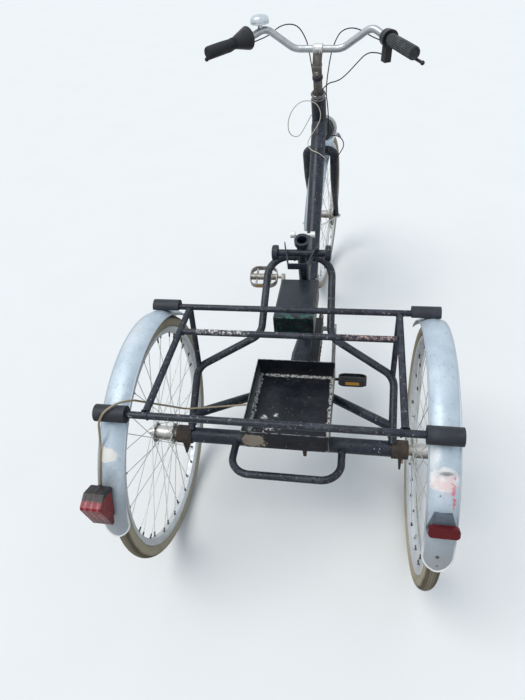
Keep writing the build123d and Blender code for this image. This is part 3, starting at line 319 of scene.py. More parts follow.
def silver_guard(name, marks):
    """Silver paint on sheet steel with grime, fine pits, painted shade low down, and the marks named for
    that mudguard, some of them painted shade and painted highlights.
    """
    s = Shader(name, Metallic=0.35)
    cloud = s.noise(9, 6, 0.65)
    fine = s.noise(120, 5, 0.7)
    base = s.mix(s.range(cloud, 0.35, 0.7), (0.46, 0.54, 0.62), (0.60, 0.68, 0.75))
    base = s.mix(s.times(s.range(fine, 0.54, 0.70), 0.5), base, (0.30, 0.32, 0.34))
    # painted shade: the sheet darkens towards the bottom, where it faces the ground
    low = s.range(s.axis("Z"), 0.40, 0.58, 1, 0)
    base = s.mix(s.times(low, 0.55), base, (0.34, 0.35, 0.355))
    pits = s.times(s.range(s.noise(70, 6, 0.75), 0.60, 0.66), s.range(s.axis("Z"), 0.35, 0.60, 1, 0.25))
    base = s.mix(s.times(pits, 0.6), base, (0.20, 0.18, 0.17))
    for centre, radius, soft, squash, ragged, amount, tone in marks:
        spot = s.times(s.near(at(*centre), radius, soft, squash, ragged), amount)
        base = s.mix(spot, base, tone)
    s.colour(base)
    s.roughness(s.range(s.plus(cloud, s.times(fine, 0.4)), 0.4, 1.0, 0.34, 0.6))
    s.bump(s.plus(s.times(cloud, 0.8), s.times(fine, 0.12)), 0.3, 0.003)
    return s.material


def tyre_rubber(name, centre, across, wall, tread):
    """Tan side walls, a darker worn tread round the rim of the tyre, and dust."""
    s = Shader(name, Specular_IOR_Level=0.25)
    shift = s.vector("SUBTRACT", s.point, centre)
    side = s.vector("DOT_PRODUCT", shift, across)
    size = s.vector("LENGTH", shift)
    radius = s.math("SQRT", s.minus(s.times(size, size), s.times(side, side)))
    cloud = s.noise(20, 6, 0.65)
    fine = s.noise(240, 4, 0.7)
    edge = s.plus(radius, s.times(s.minus(cloud, 0.5), 0.006))
    base = s.mix(s.range(edge, 0.3205, 0.3265), wall, tread)
    base = s.mix(s.times(s.range(cloud, 0.45, 0.75), 0.4), base, (0.27, 0.235, 0.175))
    base = s.mix(s.times(s.range(fine, 0.55, 0.75), 0.35), base, (0.12, 0.10, 0.08))
    groove = s.times(s.range(radius, 0.3295, 0.3318, 1, 0), s.range(edge, 0.324, 0.327))
    base = s.mix(s.times(groove, 0.6), base, (0.06, 0.05, 0.04))
    s.colour(base)
    s.roughness(s.range(cloud, 0.3, 0.8, 0.7, 0.9))
    s.bump(fine, 0.4, 0.0008)
    return s.material


black = worn_paint(
    "black_paint", (0.012, 0.018, 0.033), (0.085, 0.10, 0.13), (0.30, 0.34, 0.40), (0.06, 0.04, 0.03),
    chips=0.5,
)
dusty_black = worn_paint(
    "dusty_black", (0.014, 0.020, 0.033), (0.10, 0.115, 0.14), (0.34, 0.35, 0.37), (0.09, 0.06, 0.045),
    dust=0.6, chips=0.7, seed=2,
)


def bar_marks(s, paint):
    """Chips along the top of the bar between the rails, pale on the left and rusty pink on the right."""
    along = s.range(s.math("ABSOLUTE", s.minus(s.axis("Y"), axle_y + 0.078)), 0.010, 0.014, 1, 0)
    x = s.axis("X")
    ragged = s.range(s.noise(150, 5, 0.8), 0.50, 0.56)
    left = s.times(s.range(x, -0.23, -0.22), s.range(x, -0.11, -0.09, 1, 0))
    right = s.times(s.range(x, 0.135, 0.15), s.range(x, 0.262, 0.267, 1, 0))
    paint = s.mix(s.times(left, ragged, along, s.upward()), paint, (0.72, 0.68, 0.66))
    return s.mix(s.times(right, ragged, along, s.upward()), paint, (0.50, 0.33, 0.30))


carrier = worn_paint(
    "carrier_paint", (0.012, 0.017, 0.030), (0.09, 0.10, 0.125), (0.36, 0.36, 0.38), (0.12, 0.08, 0.07),
    dust=0.6, chips=0.6, seed=3, tint=bar_marks,
)


def tray_marks(s, paint):
    """Bare worn rims, white battery crust along the floor's edges and a beige patch on the back."""
    x = s.math("ABSOLUTE", s.axis("X"))
    y = s.minus(s.axis("Y"), axle_y)
    z = s.axis("Z")
    ragged = s.range(s.noise(130, 6, 0.75), 0.44, 0.52)
    patchy = s.range(s.noise(26, 5, 0.65), 0.42, 0.60)
    floor = s.range(z, 0.3775, 0.381, 1, 0)
    wander = s.times(s.minus(s.noise(45, 5, 0.7), 0.5), 0.03)
    side = s.range(s.plus(x, wander), 0.0985, 0.1005)
    front = s.range(s.plus(y, s.times(wander, 0.6)), 0.2015, 0.2035)
    crust = s.times(s.math("MAXIMUM", side, front), ragged, floor)
    paint = s.mix(s.times(crust, 0.9), paint, (0.66, 0.66, 0.64))
    inner = s.times(s.range(x, 0.1085, 0.1098), s.range(x, 0.1108, 0.1116, 1, 0))
    inner = s.times(inner, s.range(z, 0.39, 0.43, 1, 0.1), ragged)
    paint = s.mix(s.times(inner, 0.5), paint, (0.42, 0.42, 0.41))
    rim = s.times(s.range(z, 0.4325, 0.4345), s.range(s.noise(60, 6, 0.7), 0.40, 0.56))
    paint = s.mix(s.times(rim, 0.7), paint, (0.34, 0.35, 0.36))
    blob = s.near(at(82, -42, 378), 0.026, 0.3, (1, 1.6, 1), 1.4)
    for x_mm, y_mm, radius in ((-86, -40, 0.013), (-72, 42, 0.010), (-40, 52, 0.009), (-52, 8, 0.011)):
        blob = s.math("MAXIMUM", blob, s.near(at(x_mm, y_mm, 378), radius, 0.3, (1, 1.2, 1), 1.6))
    splash = s.times(s.near(at(-60, 5, 378), 0.055, 0.8), s.range(s.noise(120, 5, 0.8), 0.56, 0.60))
    white = s.times(s.math("MAXIMUM", blob, splash), s.range(s.noise(170, 4, 0.7), 0.40, 0.50), floor)
    paint = s.mix(white, paint, (0.70, 0.70, 0.68))
    patch = s.near(at(-84, -60, 402), 0.030, 0.2, (0.85, 1, 1.1), 0.8)
    back = s.range(y, -0.0596, -0.0588, 1, 0)
    paint = s.mix(s.times(patch, back), paint, (0.34, 0.29, 0.23))
    stain = s.near(at(-106, -60, 404), 0.016, 0.5, (1, 1, 1), 0.8)
    return s.mix(s.times(stain, back, patchy), paint, (0.16, 0.06, 0.02))


tray_paint = worn_paint(
    "tray_paint", (0.008, 0.010, 0.016), (0.05, 0.055, 0.065), (0.45, 0.45, 0.45), (0.14, 0.07, 0.04),
    dust=0.5, chips=0.05, seed=7, tint=tray_marks,
)


def box_marks(s, paint):
    """A teal coat shows where the dark one has worn off along the rear edge of the lid."""
    rear = s.range(s.axis("Y"), axle_y + 0.2530, axle_y + 0.2600, 1, 0)
    high = s.range(s.axis("Z"), 0.5650, 0.5685)
    ragged = s.range(s.noise(90, 6, 0.8), 0.48, 0.54)
    paint = s.mix(s.times(rear, high, ragged, 0.9), paint, (0.07, 0.24, 0.20))
    low = s.times(s.range(s.axis("Z"), 0.562, 0.566, 1, 0), s.range(s.noise(60, 7, 0.8), 0.54, 0.58))
    paint = s.mix(s.times(low, rear, 0.8), paint, (0.012, 0.075, 0.055))
    top = s.range(s.axis("Z"), 0.5720, 0.5735)
    return s.mix(s.times(top, 0.6), paint, (0.052, 0.060, 0.078))


box_paint = worn_paint(
    "box_paint", (0.008, 0.011, 0.014), (0.05, 0.058, 0.075), (0.16, 0.20, 0.21), (0.02, 0.03, 0.03),
    dust=0.4, chips=0.2, seed=11, tint=box_marks,
)
rubber = moulded("rubber", (0.012, 0.014, 0.018), (0.08, 0.09, 0.10), 0.55)
cap_rubber = moulded("cap_rubber", (0.016, 0.019, 0.026), (0.075, 0.085, 0.10), 0.45, scuff=0.6)
ribbed_rubber = moulded("ribbed_rubber", (0.05, 0.053, 0.056), (0.20, 0.21, 0.22), 0.5, scuff=0.8)
plastic = moulded("black_plastic", (0.014, 0.016, 0.019), (0.09, 0.095, 0.10), 0.4)
lever_plastic = moulded("lever_plastic", (0.012, 0.013, 0.016), (0.16, 0.17, 0.18), 0.3, scuff=0.2)
lead = moulded("lead", (0.34, 0.27, 0.18), (0.50, 0.43, 0.33), 0.6, scuff=0.5)
cable_black = moulded("cable_black", (0.012, 0.012, 0.013), (0.10, 0.10, 0.10), 0.4)
cream_wire = moulded("cream_wire", (0.62, 0.57, 0.46), (0.75, 0.72, 0.65), 0.5, scuff=0.5)
amber = moulded("amber", (0.55, 0.26, 0.02), (0.60, 0.42, 0.16), 0.25, scuff=0.4)


def rim_marks(s, paint):
    """Brown stains and dull patches that run round the rim."""
    stain = s.range(s.noise(26, 6, 0.7), 0.60, 0.70)
    return s.mix(s.times(stain, 0.45), paint, (0.30, 0.24, 0.18))


rim_metal = bare_metal("rim_metal", (0.70, 0.73, 0.76), (0.46, 0.45, 0.43), 0.34, 0.35, 0.35, tint=rim_marks)
spoke_wire = bare_metal("spoke_wire", (0.68, 0.68, 0.67), (0.34, 0.30, 0.26), 0.35, 0.6, 0.3)
nipple_brass = bare_metal("nipple_brass", (0.10, 0.085, 0.07), (0.04, 0.03, 0.025), 0.4, 0.6)


def rim_shade(s, paint):
    """The rolled rim is near white at the round end as a painted highlight, and duller along the sides as
    painted shade.
    """
    return s.mix(s.range(s.axis("Z"), 0.42, 0.47), paint, (0.46, 0.50, 0.55))


# the near-white base colour is the painted highlight kept at the rim's round end
guard_rim = bare_metal("guard_rim", (0.88, 0.88, 0.89), (0.62, 0.61, 0.60), 0.3, 0.3, 0.3, tint=rim_shade)
bracket_steel = bare_metal("bracket_steel", (0.15, 0.18, 0.22), (0.07, 0.08, 0.09), 0.35, 0.6, 0.5)


def hub_marks(s, paint):
    """Darker brown on the hub's faces that look down."""
    return s.mix(s.times(s.minus(1.0, s.upward()), 0.8), paint, (0.10, 0.075, 0.055))


hub_steel = bare_metal("hub_steel", (0.60, 0.60, 0.59), (0.30, 0.24, 0.18), 0.3, 0.8, 0.5, tint=hub_marks)
crank_steel = bare_metal("crank_steel", (0.36, 0.36, 0.37), (0.14, 0.12, 0.10), 0.35, 0.8, 0.6)
bar_metal = bare_metal("bar_metal", (0.46, 0.48, 0.51), (0.26, 0.26, 0.25), 0.2, 0.85, 0.4)
stem_metal = bare_metal("stem_metal", (0.17, 0.155, 0.14), (0.06, 0.05, 0.04), 0.4, 0.6, 0.7)
clamp_white = bare_metal("clamp_white", (0.72, 0.72, 0.72), (0.35, 0.34, 0.33), 0.3, 0.5, 0.5)
lamp_ring = bare_metal("lamp_ring", (0.90, 0.91, 0.92), (0.5, 0.48, 0.45), 0.2, 0.1, 0.35)
headset_steel = bare_metal("headset_steel", (0.24, 0.24, 0.245), (0.08, 0.07, 0.06), 0.25, 0.8, 0.7)
chrome = bare_metal("chrome", (0.66, 0.70, 0.76), (0.36, 0.34, 0.32), 0.12, 0.9, 0.35)


def clamp_marks(s, paint):
    """The collar round the seat tube is dark, and its bolt is bright."""
    ring = s.near(at(8, 391.8, 722), 0.0245, 0.03)
    return s.mix(ring, paint, (0.035, 0.042, 0.055))


seat_clamp_metal = bare_metal(
    "seat_clamp_metal", (0.80, 0.80, 0.79), (0.45, 0.43, 0.41), 0.3, 0.3, 0.4, tint=clamp_marks,
)
bolt_steel = bare_metal("bolt_steel", (0.40, 0.39, 0.37), (0.14, 0.10, 0.07), 0.35, 0.8, 0.7)
bearing = rusty("bearing", (0.075, 0.050, 0.036), (0.022, 0.020, 0.020), (0.20, 0.15, 0.12))
chain_steel = rusty("chain_steel", (0.10, 0.07, 0.05), (0.03, 0.025, 0.023), (0.24, 0.17, 0.11), 0.5)


def lamp_shade(s, paint):
    """The lens's upper end is near black where it lies in the dark moulding, and its foot turns a darker red
    as painted shade.
    """
    shift = s.vector("SUBTRACT", s.point, at(-362, -317.2, 480.9))
    along = s.vector("DOT_PRODUCT", shift, (0, -cos(radians(65)), -sin(radians(65))))
    ragged = s.times(s.minus(s.noise(120, 4, 0.7), 0.5), 0.01)
    # painted shade: towards the foot the lens turns darker red
    paint = s.mix(s.range(along, 0.015, 0.024), paint, (0.11, 0.005, 0.008))
    return s.mix(s.range(s.plus(along, ragged), -0.035, -0.031, 1, 0), paint, (0.018, 0.014, 0.016))


# the second colour given to each lens is its painted pinkish sheen
lamp_red = red_plastic(
    "lamp_red", (0.24, 0.008, 0.014), (0.42, 0.13, 0.18), (0.07, 0.006, 0.008), 0.014, 0.75, lamp_shade,
)
reflector_red = red_plastic(
    "reflector_red", (0.11, 0.003, 0.006), (0.16, 0.02, 0.03), (0.04, 0.004, 0.005), 0.004, 0.3,
)
pedal_silver = bare_metal("pedal_silver", (0.34, 0.33, 0.31), (0.12, 0.09, 0.07), 0.35, 0.7, 0.7)

# Mesh building: verts and faces gathered by small shapes, then made into one piece


def both_ways(rows):
    """A profile mirrored about height 0."""
    return [(-height, radius) for height, radius in reversed(rows)] + rows


class Build:
    def __init__(self):
        self.verts, self.faces = [], []

    def add(self, verts, faces):
        start = len(self.verts)
        self.verts += [tuple(v) for v in verts]
        self.faces += [tuple(i + start for i in face) for face in faces]

    def lathe(self, profile, origin, axis, sides, ripple=None):
        """A profile of (height, radius) rows turned about a line; ripple shapes the radius by turn."""
        axis = Vector(axis).normalized()
        helper = Vector((0, 0, 1)) if abs(axis.z) < 0.9 else Vector((1, 0, 0))
        u = axis.cross(helper).normalized()
        v = axis.cross(u)
        verts = []
        for height, radius in profile:
            for i in range(sides):
                turn = 2 * pi * i / sides
                r = radius * (ripple(i, height) if ripple else 1)
                verts.append(origin + axis * height + (u * cos(turn) + v * sin(turn)) * r)
        rows = len(profile)
        faces = []
        for j in range(rows - 1):
            a, b = j * sides, (j + 1) * sides
            faces += [(a + i, a + (i + 1) % sides, b + (i + 1) % sides, b + i) for i in range(sides)]
        faces.append(tuple(reversed(range(sides))))
        faces.append(tuple((rows - 1) * sides + i for i in range(sides)))
        self.add(verts, faces)

    def rod(self, start, end, radius, sides):
        line = end - start
        self.lathe([(0, radius), (line.length, radius)], start, line, sides)

    def dome(self, base, axis, radius, height, sides=16):
        """A low round bolt head."""
        rows = [(height * sin(k * pi / 8), radius * cos(k * pi / 8)) for k in range(4)]
        self.lathe([(0, radius)] + rows[1:], base, axis, sides)

    def hexagon(self, base, axis, width, height):
        r = width / 2 / cos(pi / 6)
        self.lathe([(0, r), (height * 0.8, r), (height, r * 0.86)], base, axis, 6)

    def tube(self, points, radius, sides=8, closed=False):
        """A round section carried along points, of one radius or of one for each point."""
        verts, count = [], len(points)
        radii = radius if isinstance(radius, list) else [radius] * count
        side = None
        for i, point in enumerate(points):
            before = points[i - 1] if i or closed else points[0]
            after = points[(i + 1) % count] if i < count - 1 or closed else points[-1]
            line = (after - before).normalized()
            if side is None:
                side = line.orthogonal().normalized()
            side = (side - line * side.dot(line)).normalized()
            other = line.cross(side)
            for k in range(sides):
                turn = 2 * pi * k / sides
                verts.append(point + (side * cos(turn) + other * sin(turn)) * radii[i])
        faces = []
        for i in range(count if closed else count - 1):
            a, b = i * sides, ((i + 1) % count) * sides
            faces += [(a + k, a + (k + 1) % sides, b + (k + 1) % sides, b + k) for k in range(sides)]
        if not closed:
            faces += [tuple(reversed(range(sides))), tuple((count - 1) * sides + k for k in range(sides))]
        self.add(verts, faces)

    def piece(self, name, look, body, replaced=None, sharp=40):
        mesh = bpy.data.meshes.new(name)
        mesh.from_pydata(self.verts, [], self.faces)
        work = bmesh.new()
        work.from_mesh(mesh)
        bmesh.ops.recalc_face_normals(work, faces=work.faces)
        for face in work.faces:
            face.smooth = True
        for edge in work.edges:
            if len(edge.link_faces) == 2 and edge.calc_face_angle(0) > radians(sharp):
                edge.smooth = False
        work.to_mesh(mesh)
        work.free()
        mesh.materials.append(look)
        obj = bpy.data.objects.new(name, mesh)
        bpy.context.scene.collection.objects.link(obj)
        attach(obj, body)
        if replaced:
            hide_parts(replaced)
        return obj


# Sizes that several pieces share, in millimetres. The steered end stands turned to the right.
wheelbase, axle_height, half_track = 1289, 333, 351
fork_length, fork_offset, blade_x = 444, 42.5, 51.5
bar_along, bar_ahead = 300, 28
head_angle, steer_turn = radians(74), radians(5.5)
up_head = Vector((0, -cos(head_angle), sin(head_angle)))
out_head = Vector((0, sin(head_angle), cos(head_angle)))
steer = Matrix.Rotation(-steer_turn, 3, up_head)
steer_up, steer_back, steer_across = steer @ up_head, steer @ -out_head, steer @ Vector((1, 0, 0))
front_rest = at(0, wheelbase, axle_height)
head_foot = front_rest + (up_head * fork_length - out_head * fork_offset) / 1000
bar_centre = head_foot + (up_head * bar_along + out_head * bar_ahead) / 1000
lamp_lug = head_foot - up_head * 0.012


def steered(point):
    return head_foot + steer @ (point - head_foot)


def head_point(along, forward=0, side=0):
    """Millimetres up the steering axis, ahead of it and aside, turned with the bar."""
    return steered(head_foot + (up_head * along + out_head * forward + Vector((side, 0, 0))) / 1000)


front_centre = steered(front_rest)
rear_centres = {side: at(side * half_track, 0, axle_height) for side in (-1, 1)}
straight = Matrix.Identity(3)
wheels = (
    # name, centre, turn of its frame, body
    ("rear_left", rear_centres[-1], straight, "wheel_left"),
    ("rear_right", rear_centres[1], straight, "wheel_right"),
    ("front", front_centre, steer, "front_wheel"),
)

# Tyres with ribs round the tread and cuts across its shoulders


def tyre_section():
    """Rows of (angle from the crown, kind): the kinds are rib, groove, cut and wall."""
    half = [
        (0, "rib"), (6, "rib"), (8, "groove"), (11, "groove"), (13, "cut"), (22, "cut"), (24, "groove"),
        (27, "groove"), (29, "cut"), (38, "cut"), (40, "groove"), (43, "groove"), (45, "cut"), (58, "cut"),
        (62, "wall"), (72, "wall"), (84, "wall"), (94, "wall"), (97, "line"), (101, "line"), (104, "wall"),
        (116, "wall"), (131, "wall"),
    ]
    return [(-a, k) for a, k in reversed(half[1:])] + half


def make_tyre(name, centre, turn, body, look):
    depth = {"rib": 0, "groove": 1.4, "wall": 0.7, "line": 0.2}
    ring_radius, section_radius, cut_depth = 314, 19, 1.1
    section, pitches = tyre_section(), 230
    rows = pitches * 2
    verts = []
    for i in range(rows):
        around = 2 * pi * i / rows
        for angle, kind in section:
            lean = radians(angle)
            cut = depth.get(kind, cut_depth if i % 2 else 0)
            skew = (angle / 60) * (2 * pi / rows) * 0.8 if kind != "wall" else 0
            r = section_radius - cut
            ring = ring_radius + r * cos(lean)
            local = Vector((r * sin(lean), ring * sin(around + skew), ring * cos(around + skew)))
            verts.append(centre + turn @ local / 1000)
    width = len(section)
    faces = []
    for i in range(rows):
        a, b = i * width, ((i + 1) % rows) * width
        faces += [(a + k, a + k + 1, b + k + 1, b + k) for k in range(width - 1)]
        faces.append((a + width - 1, a, b, b + width - 1))
    build = Build()
    build.add(verts, faces)
    return build.piece(name + "_tyre_tread", look, body, name + "_tyre", sharp=75)


# Round spokes with bent heads at the hub and nipples at the rim


def make_spokes(name, centre, turn, body):
    wires, nipples = Build(), Build()
    count, lean = 18, radians(60)
    pitch = 2 * pi / count
    flange_x, hub_ring, rim_end, wire_radius = 26, 24.5, 282.9, 0.00105
    for side in (-1, 1):
        for i in range(count):
            leading = i % 2 == 0
            hub_x = flange_x + (4.3 if leading else -2.7)
            head_x = flange_x + (-4 if leading else 4)
            rim_x = 4.5 if leading else 1.5
            hub_turn = pitch * (i + (0.5 if side > 0 else 0))
            rim_turn = hub_turn + (lean if leading else -lean)
            start = Vector((side * hub_x, hub_ring * cos(hub_turn), hub_ring * sin(hub_turn)))
            end = Vector((side * rim_x, rim_end * cos(rim_turn), rim_end * sin(rim_turn)))
            head = Vector((side * head_x, start.y, start.z))
            a, b, c = (centre + turn @ p / 1000 for p in (start, end, head))
            line = (b - a).normalized()
            wires.tube([c, a - (a - c) * 0.25, a + line * 0.003, b - line * 0.012], wire_radius, 6)
            nipples.lathe(
                [(0, 0.0013), (0.001, 0.0022), (0.010, 0.0022), (0.0112, 0.0032), (0.0128, 0.0036)],
                b - line * 0.0125, line, 8,
            )
    wires.piece(name + "_spoke_wires", spoke_wire, body, name + "_spokes")
    nipples.piece(name + "_nipples", nipple_brass, body)


tyre_wall, tyre_tread = (0.47, 0.42, 0.31), (0.27, 0.235, 0.175)
for name, centre, turn, body in wheels:
    look = tyre_rubber(name + "_tyre", centre, turn @ Vector((1, 0, 0)), tyre_wall, tyre_tread)
    make_tyre(name, centre, turn, body, look)
    make_spokes(name, centre, turn, body)

# Mudguards: thin crowned strips with a rolled rim, dented a little


def make_guard(name, centre, turn, body, ahead, behind, look, dent):
    radius, half, crown, thick, bead = 350, 32, 13, 1.6, 2.2
    bulge = (half * half + crown * crown) / (2 * crown)
    last = radians(behind)
    ring = last - half / radius
    rows, tip = 150, 0.004
    turns = [radians(-ahead) + (last - tip + radians(ahead)) * i / rows for i in range(rows + 1)]
    turns += [last - tip + 0.003 * k / 6 for k in range(1, 7)]

    def half_width(t):
        past = max(0, (t - ring) * radius)
        return max(1.6, sqrt(max(0, half * half - past * past)))

    def surface(x, t, lift=0.0):
        r = radius - (bulge - sqrt(bulge * bulge - x * x)) + lift
        push = 0.9 * abs(noise.noise(Vector((x / 26, t * 7, len(name))))) + dent(x, t)
        edge = min(1, max(0, (half_width(t) - abs(x)) / 7))
        r -= push * edge
        return centre + turn @ Vector((x / 1000, -r * sin(t) / 1000, r * cos(t) / 1000))

    columns = 18
    build = Build()
    outer, inner = [], []
    for t in turns:
        w = half_width(t) - 0.4
        for k in range(columns + 1):
            x = w * (2 * k / columns - 1)
            outer.append(surface(x, t))
            inner.append(surface(x * (1 - thick / half), t, -thick))
    width, count = columns + 1, len(turns)
    faces = []
    for i in range(count - 1):
        for k in range(columns):
            a = i * width + k
            faces.append((a, a + 1, a + width + 1, a + width))
            b = a + count * width
            faces.append((b, b + width, b + width + 1, b + 1))
    edge = [i * width for i in range(count)]
    edge += [(count - 1) * width + k for k in range(1, width)]
    edge += [i * width + columns for i in reversed(range(count - 1))]
    edge += list(reversed(range(1, columns)))
    offset = count * width
    for a, b in zip(edge, edge[1:] + edge[:1]):
        faces.append((a, b, b + offset, a + offset))
    build.add(outer + inner, faces)
    build.piece(name + "_sheet", look, body, name, sharp=50)
    rim = Build()
    side_path = [(half_width(t) - thick, t) for t in turns]
    path = [surface(-max(0, w), t, -0.3) for w, t in side_path]
    path += [surface(max(0, w), t, -0.3) for w, t in reversed(side_path)]
    rim.tube(path, bead / 1000, 8)
    rim.piece(name + "_rolled_rim", guard_rim, body)


def left_dent(x, t):
    """A few shallow dents along the left mudguard."""
    d = degrees(t)
    low_dent = max(0, 1 - ((x - 6) / 16) ** 2 - ((d - 57) / 5) ** 2)
    high_dent = max(0, 1 - (x / 20) ** 2 - ((d - 20) / 8) ** 2)
    return 2.2 * low_dent + 1.2 * high_dent


def right_dent(x, t):
    """A sharp crease across the right mudguard, below which the sheet is pushed in."""
    d = degrees(t)
    step = min(1, max(0, (d - 44.5) / 1.5)) * max(0, 1 - max(0, d - 46) / 9)
    across = min(1, max(0, (x + 24) / 12))
    return 4.5 * step * across


def no_dent(x, t):
    return 0.0


right_marks = (
    # centre, radius, softness, squash, raggedness, amount, colour
    ((349, -255, 569), 0.028, 0.25, (0.8, 1, 1), 0.4, 0.9, (0.84, 0.82, 0.81)),
    ((352, -262, 560), 0.026, 0.8, (0.9, 1, 1), 1.8, 0.45, (0.74, 0.40, 0.40)),
    ((369, -262, 554), 0.016, 0.6, (2.4, 0.8, 0.8), 2.2, 0.7, (0.70, 0.17, 0.19)),
    ((370, -280, 524), 0.014, 0.5, (3.2, 0.7, 0.7), 1.5, 0.8, (0.66, 0.10, 0.12)),
    # painted shadow: a dark grey ellipse along the upper lip of the white patch
    ((357, -248, 579), 0.010, 0.6, (0.35, 1.4, 1.4), 0.3, 0.8, (0.22, 0.23, 0.25)),
    # painted shade: the next two rows are black dots standing in for the dark inside of two small holes
    ((348, -338, 423), 0.0046, 0.2, (1, 0.9, 0.9), 0.0, 1.0, (0.01, 0.01, 0.01)),
    ((350, -344, 398), 0.0038, 0.3, (1, 0.9, 0.9), 0.0, 0.7, (0.06, 0.05, 0.05)),
    ((343, -277, 547), 0.0030, 0.2, (1, 0.9, 0.9), 0.0, 0.7, (0.05, 0.05, 0.05)),
    # painted highlight: a pale streak on the pushed-in part of the sheet
    ((328, -215, 590), 0.022, 0.7, (1.2, 0.5, 0.5), 0.6, 0.6, (0.86, 0.86, 0.85)),
    # painted shade: a soft darker patch low down at the guard's end, round the holes
    ((351, -344, 395), 0.060, 0.8, (1, 1, 1), 0.6, 0.35, (0.40, 0.38, 0.35)),
)
left_marks = (
    ((-364, -259, 567), 0.021, 0.2, (0.62, 1, 1.2), 0.35, 0.95, (0.80, 0.77, 0.72)),
    ((-352, -290, 525), 0.040, 0.8, (1, 1, 1), 0.9, 0.4, (0.34, 0.37, 0.40)),
    ((-340, -330, 440), 0.045, 0.8, (1, 1, 1), 0.6, 0.3, (0.42, 0.42, 0.41)),
    # painted highlight: a pale patch along the crown, where it faces the sky
    ((-365, 20, 683), 0.050, 0.8, (1, 0.5, 1), 0.8, 0.35, (0.86, 0.88, 0.90)),
)
guards = (
    # name, centre, turn, body, ahead, behind, marks, dent
    ("rear_left_mudguard", rear_centres[-1], straight, "frame", 56, 82, left_marks, left_dent),
    ("rear_right_mudguard", rear_centres[1], straight, "frame", 56, 82, right_marks, right_dent),
    ("front_mudguard", front_centre, steer, "steering", 38, 77, (), no_dent),
)
for name, centre, turn, body, ahead, behind, marks, dent in guards:
    make_guard(name, centre, turn, body, ahead, behind, silver_guard(name + "_paint", marks), dent)

# Grips: smooth on the left, ribbed lengthwise on the right with a dark recess in its end


def rest_bar_end(side):
    """The bar's tip and the outward direction of its last stretch, with the bar straight ahead."""
    tip = bar_centre + Vector((side * 0.311, -0.201, 0.034))
    shoulder = bar_centre + Vector((side * 0.212, -0.040, 0.046))
    return tip, (tip - shoulder).normalized()


def bar_end(side):
    tip, line = rest_bar_end(side)
    return steered(tip), steer @ line


def make_grips():
    """The left grip bulges towards its end, and the right one is ribbed lengthwise round a hollow end."""
    build = Build()
    tip, line = bar_end(-1)
    end = tip + line * 0.004
    profile = [
        (0, 0.012), (0.001, 0.0155), (0.003, 0.0178), (0.007, 0.019), (0.030, 0.0190), (0.056, 0.0186),
        (0.085, 0.0172), (0.104, 0.0164), (0.1045, 0.0178), (0.108, 0.0178), (0.1085, 0.016), (0.112, 0.016),
    ]
    build.lathe(profile, end, -line, 40)
    build.piece("left_grip_sleeve", rubber, "steering", "grips", sharp=25)
    build = Build()
    tip, line = bar_end(1)
    end = tip + line * 0.004
    profile = [
        (0.0028, 0.0128), (0.0, 0.0132), (0.0, 0.0175), (0.0015, 0.019), (0.012, 0.019), (0.074, 0.019),
        (0.135, 0.0184), (0.1405, 0.0184), (0.141, 0.0162), (0.148, 0.0162),
    ]

    def ribs(i, height):
        return 1.0 if height < 0.001 or height > 0.139 or i % 4 < 2 else 0.87

    build.lathe(profile, end, -line, 88, ribs)
    build.piece("right_grip_sleeve", ribbed_rubber, "steering", "grips", sharp=25)


make_grips()

# Fork: the wide blades curve over into each other below the neck


def blade_path():
    """One blade from the crown's middle to its foot, in rows of side, along, ahead and radius."""
    top_x, top_radius, crown_bend, crown_fall = 53, 17, 22, 95
    rows = []
    for k in range(7):
        turn = pi / 2 * k / 6
        side = top_x - crown_bend + crown_bend * sin(turn)
        rows.append((side, crown_bend * cos(turn) - crown_fall, 0, top_radius))
    rows += [(top_x, -130, 0, top_radius), (top_x, -165, 0, top_radius)]
    rows += [(52.5, -200, 0, 16.5), (52, -226, 0, 15)]
    for share in (0.2, 0.4, 0.6, 0.8, 1.0):
        rows.append((52 - 0.5 * share, -226 - 67 * share, 7.7 * share * share, 15 - 3.5 * share))
    return rows + [(blade_x, -368, 25, 11), (blade_x, -fork_length, fork_offset, 10.5)]


def make_fork():
    right = blade_path()
    path = [(-side, *rest) for side, *rest in reversed(right)] + right
    foot = head_point(0)
    blades = Build()
    middles = [head_point(along, ahead, side) for side, along, ahead, radius in path]
    blades.tube(middles, [radius / 1000 for side, along, ahead, radius in path], 28)
    # neck and crown race, steerer, headset, mudguard boss and lamp lug
    blades.lathe([(-0.060, 0.0165), (-0.012, 0.0165), (-0.006, 0.021), (-0.0008, 0.021)], foot, steer_up, 32)
    blades.lathe([(-0.0008, 0.0127), (0.165, 0.0127)], foot, steer_up, 24)
    blades.lathe([(0.1403, 0.0205), (0.1415, 0.022), (0.1635, 0.022), (0.165, 0.0205)], foot, steer_up, 32)
    blades.lathe([(-0.0957, 0.005), (-0.088, 0.005)], foot, steer_up, 12)
    lamp_centre = head_foot - up_head * 0.031 + out_head * 0.066
    lamp_back = Vector((lamp_lug.x, lamp_centre.y - 0.0313, lamp_lug.z))
    blades.rod(steered(lamp_lug), steered(lamp_back), 0.006, 16)
    blades.piece("fork_blades", dusty_black, "steering", "fork")
    ends = Build()
    ends.lathe(both_ways([(0.0695, 0.0048)]), front_centre, steer_across, 16)
    for side in (-1, 1):
        out = steer_across * side
        plate = front_centre + out * blade_x / 1000
        ends.lathe(both_ways([(0.0032, 0.013), (0.004, 0.0122)]), plate, steer_across, 28)
        ends.hexagon(plate + out * 0.004, out, 0.0156, 0.009)
    ends.piece("fork_ends", bolt_steel, "steering", "fork", sharp=25)


make_fork()

# Control cables: three smooth runs from the housings to the lamp's lug, the right blade and the headset


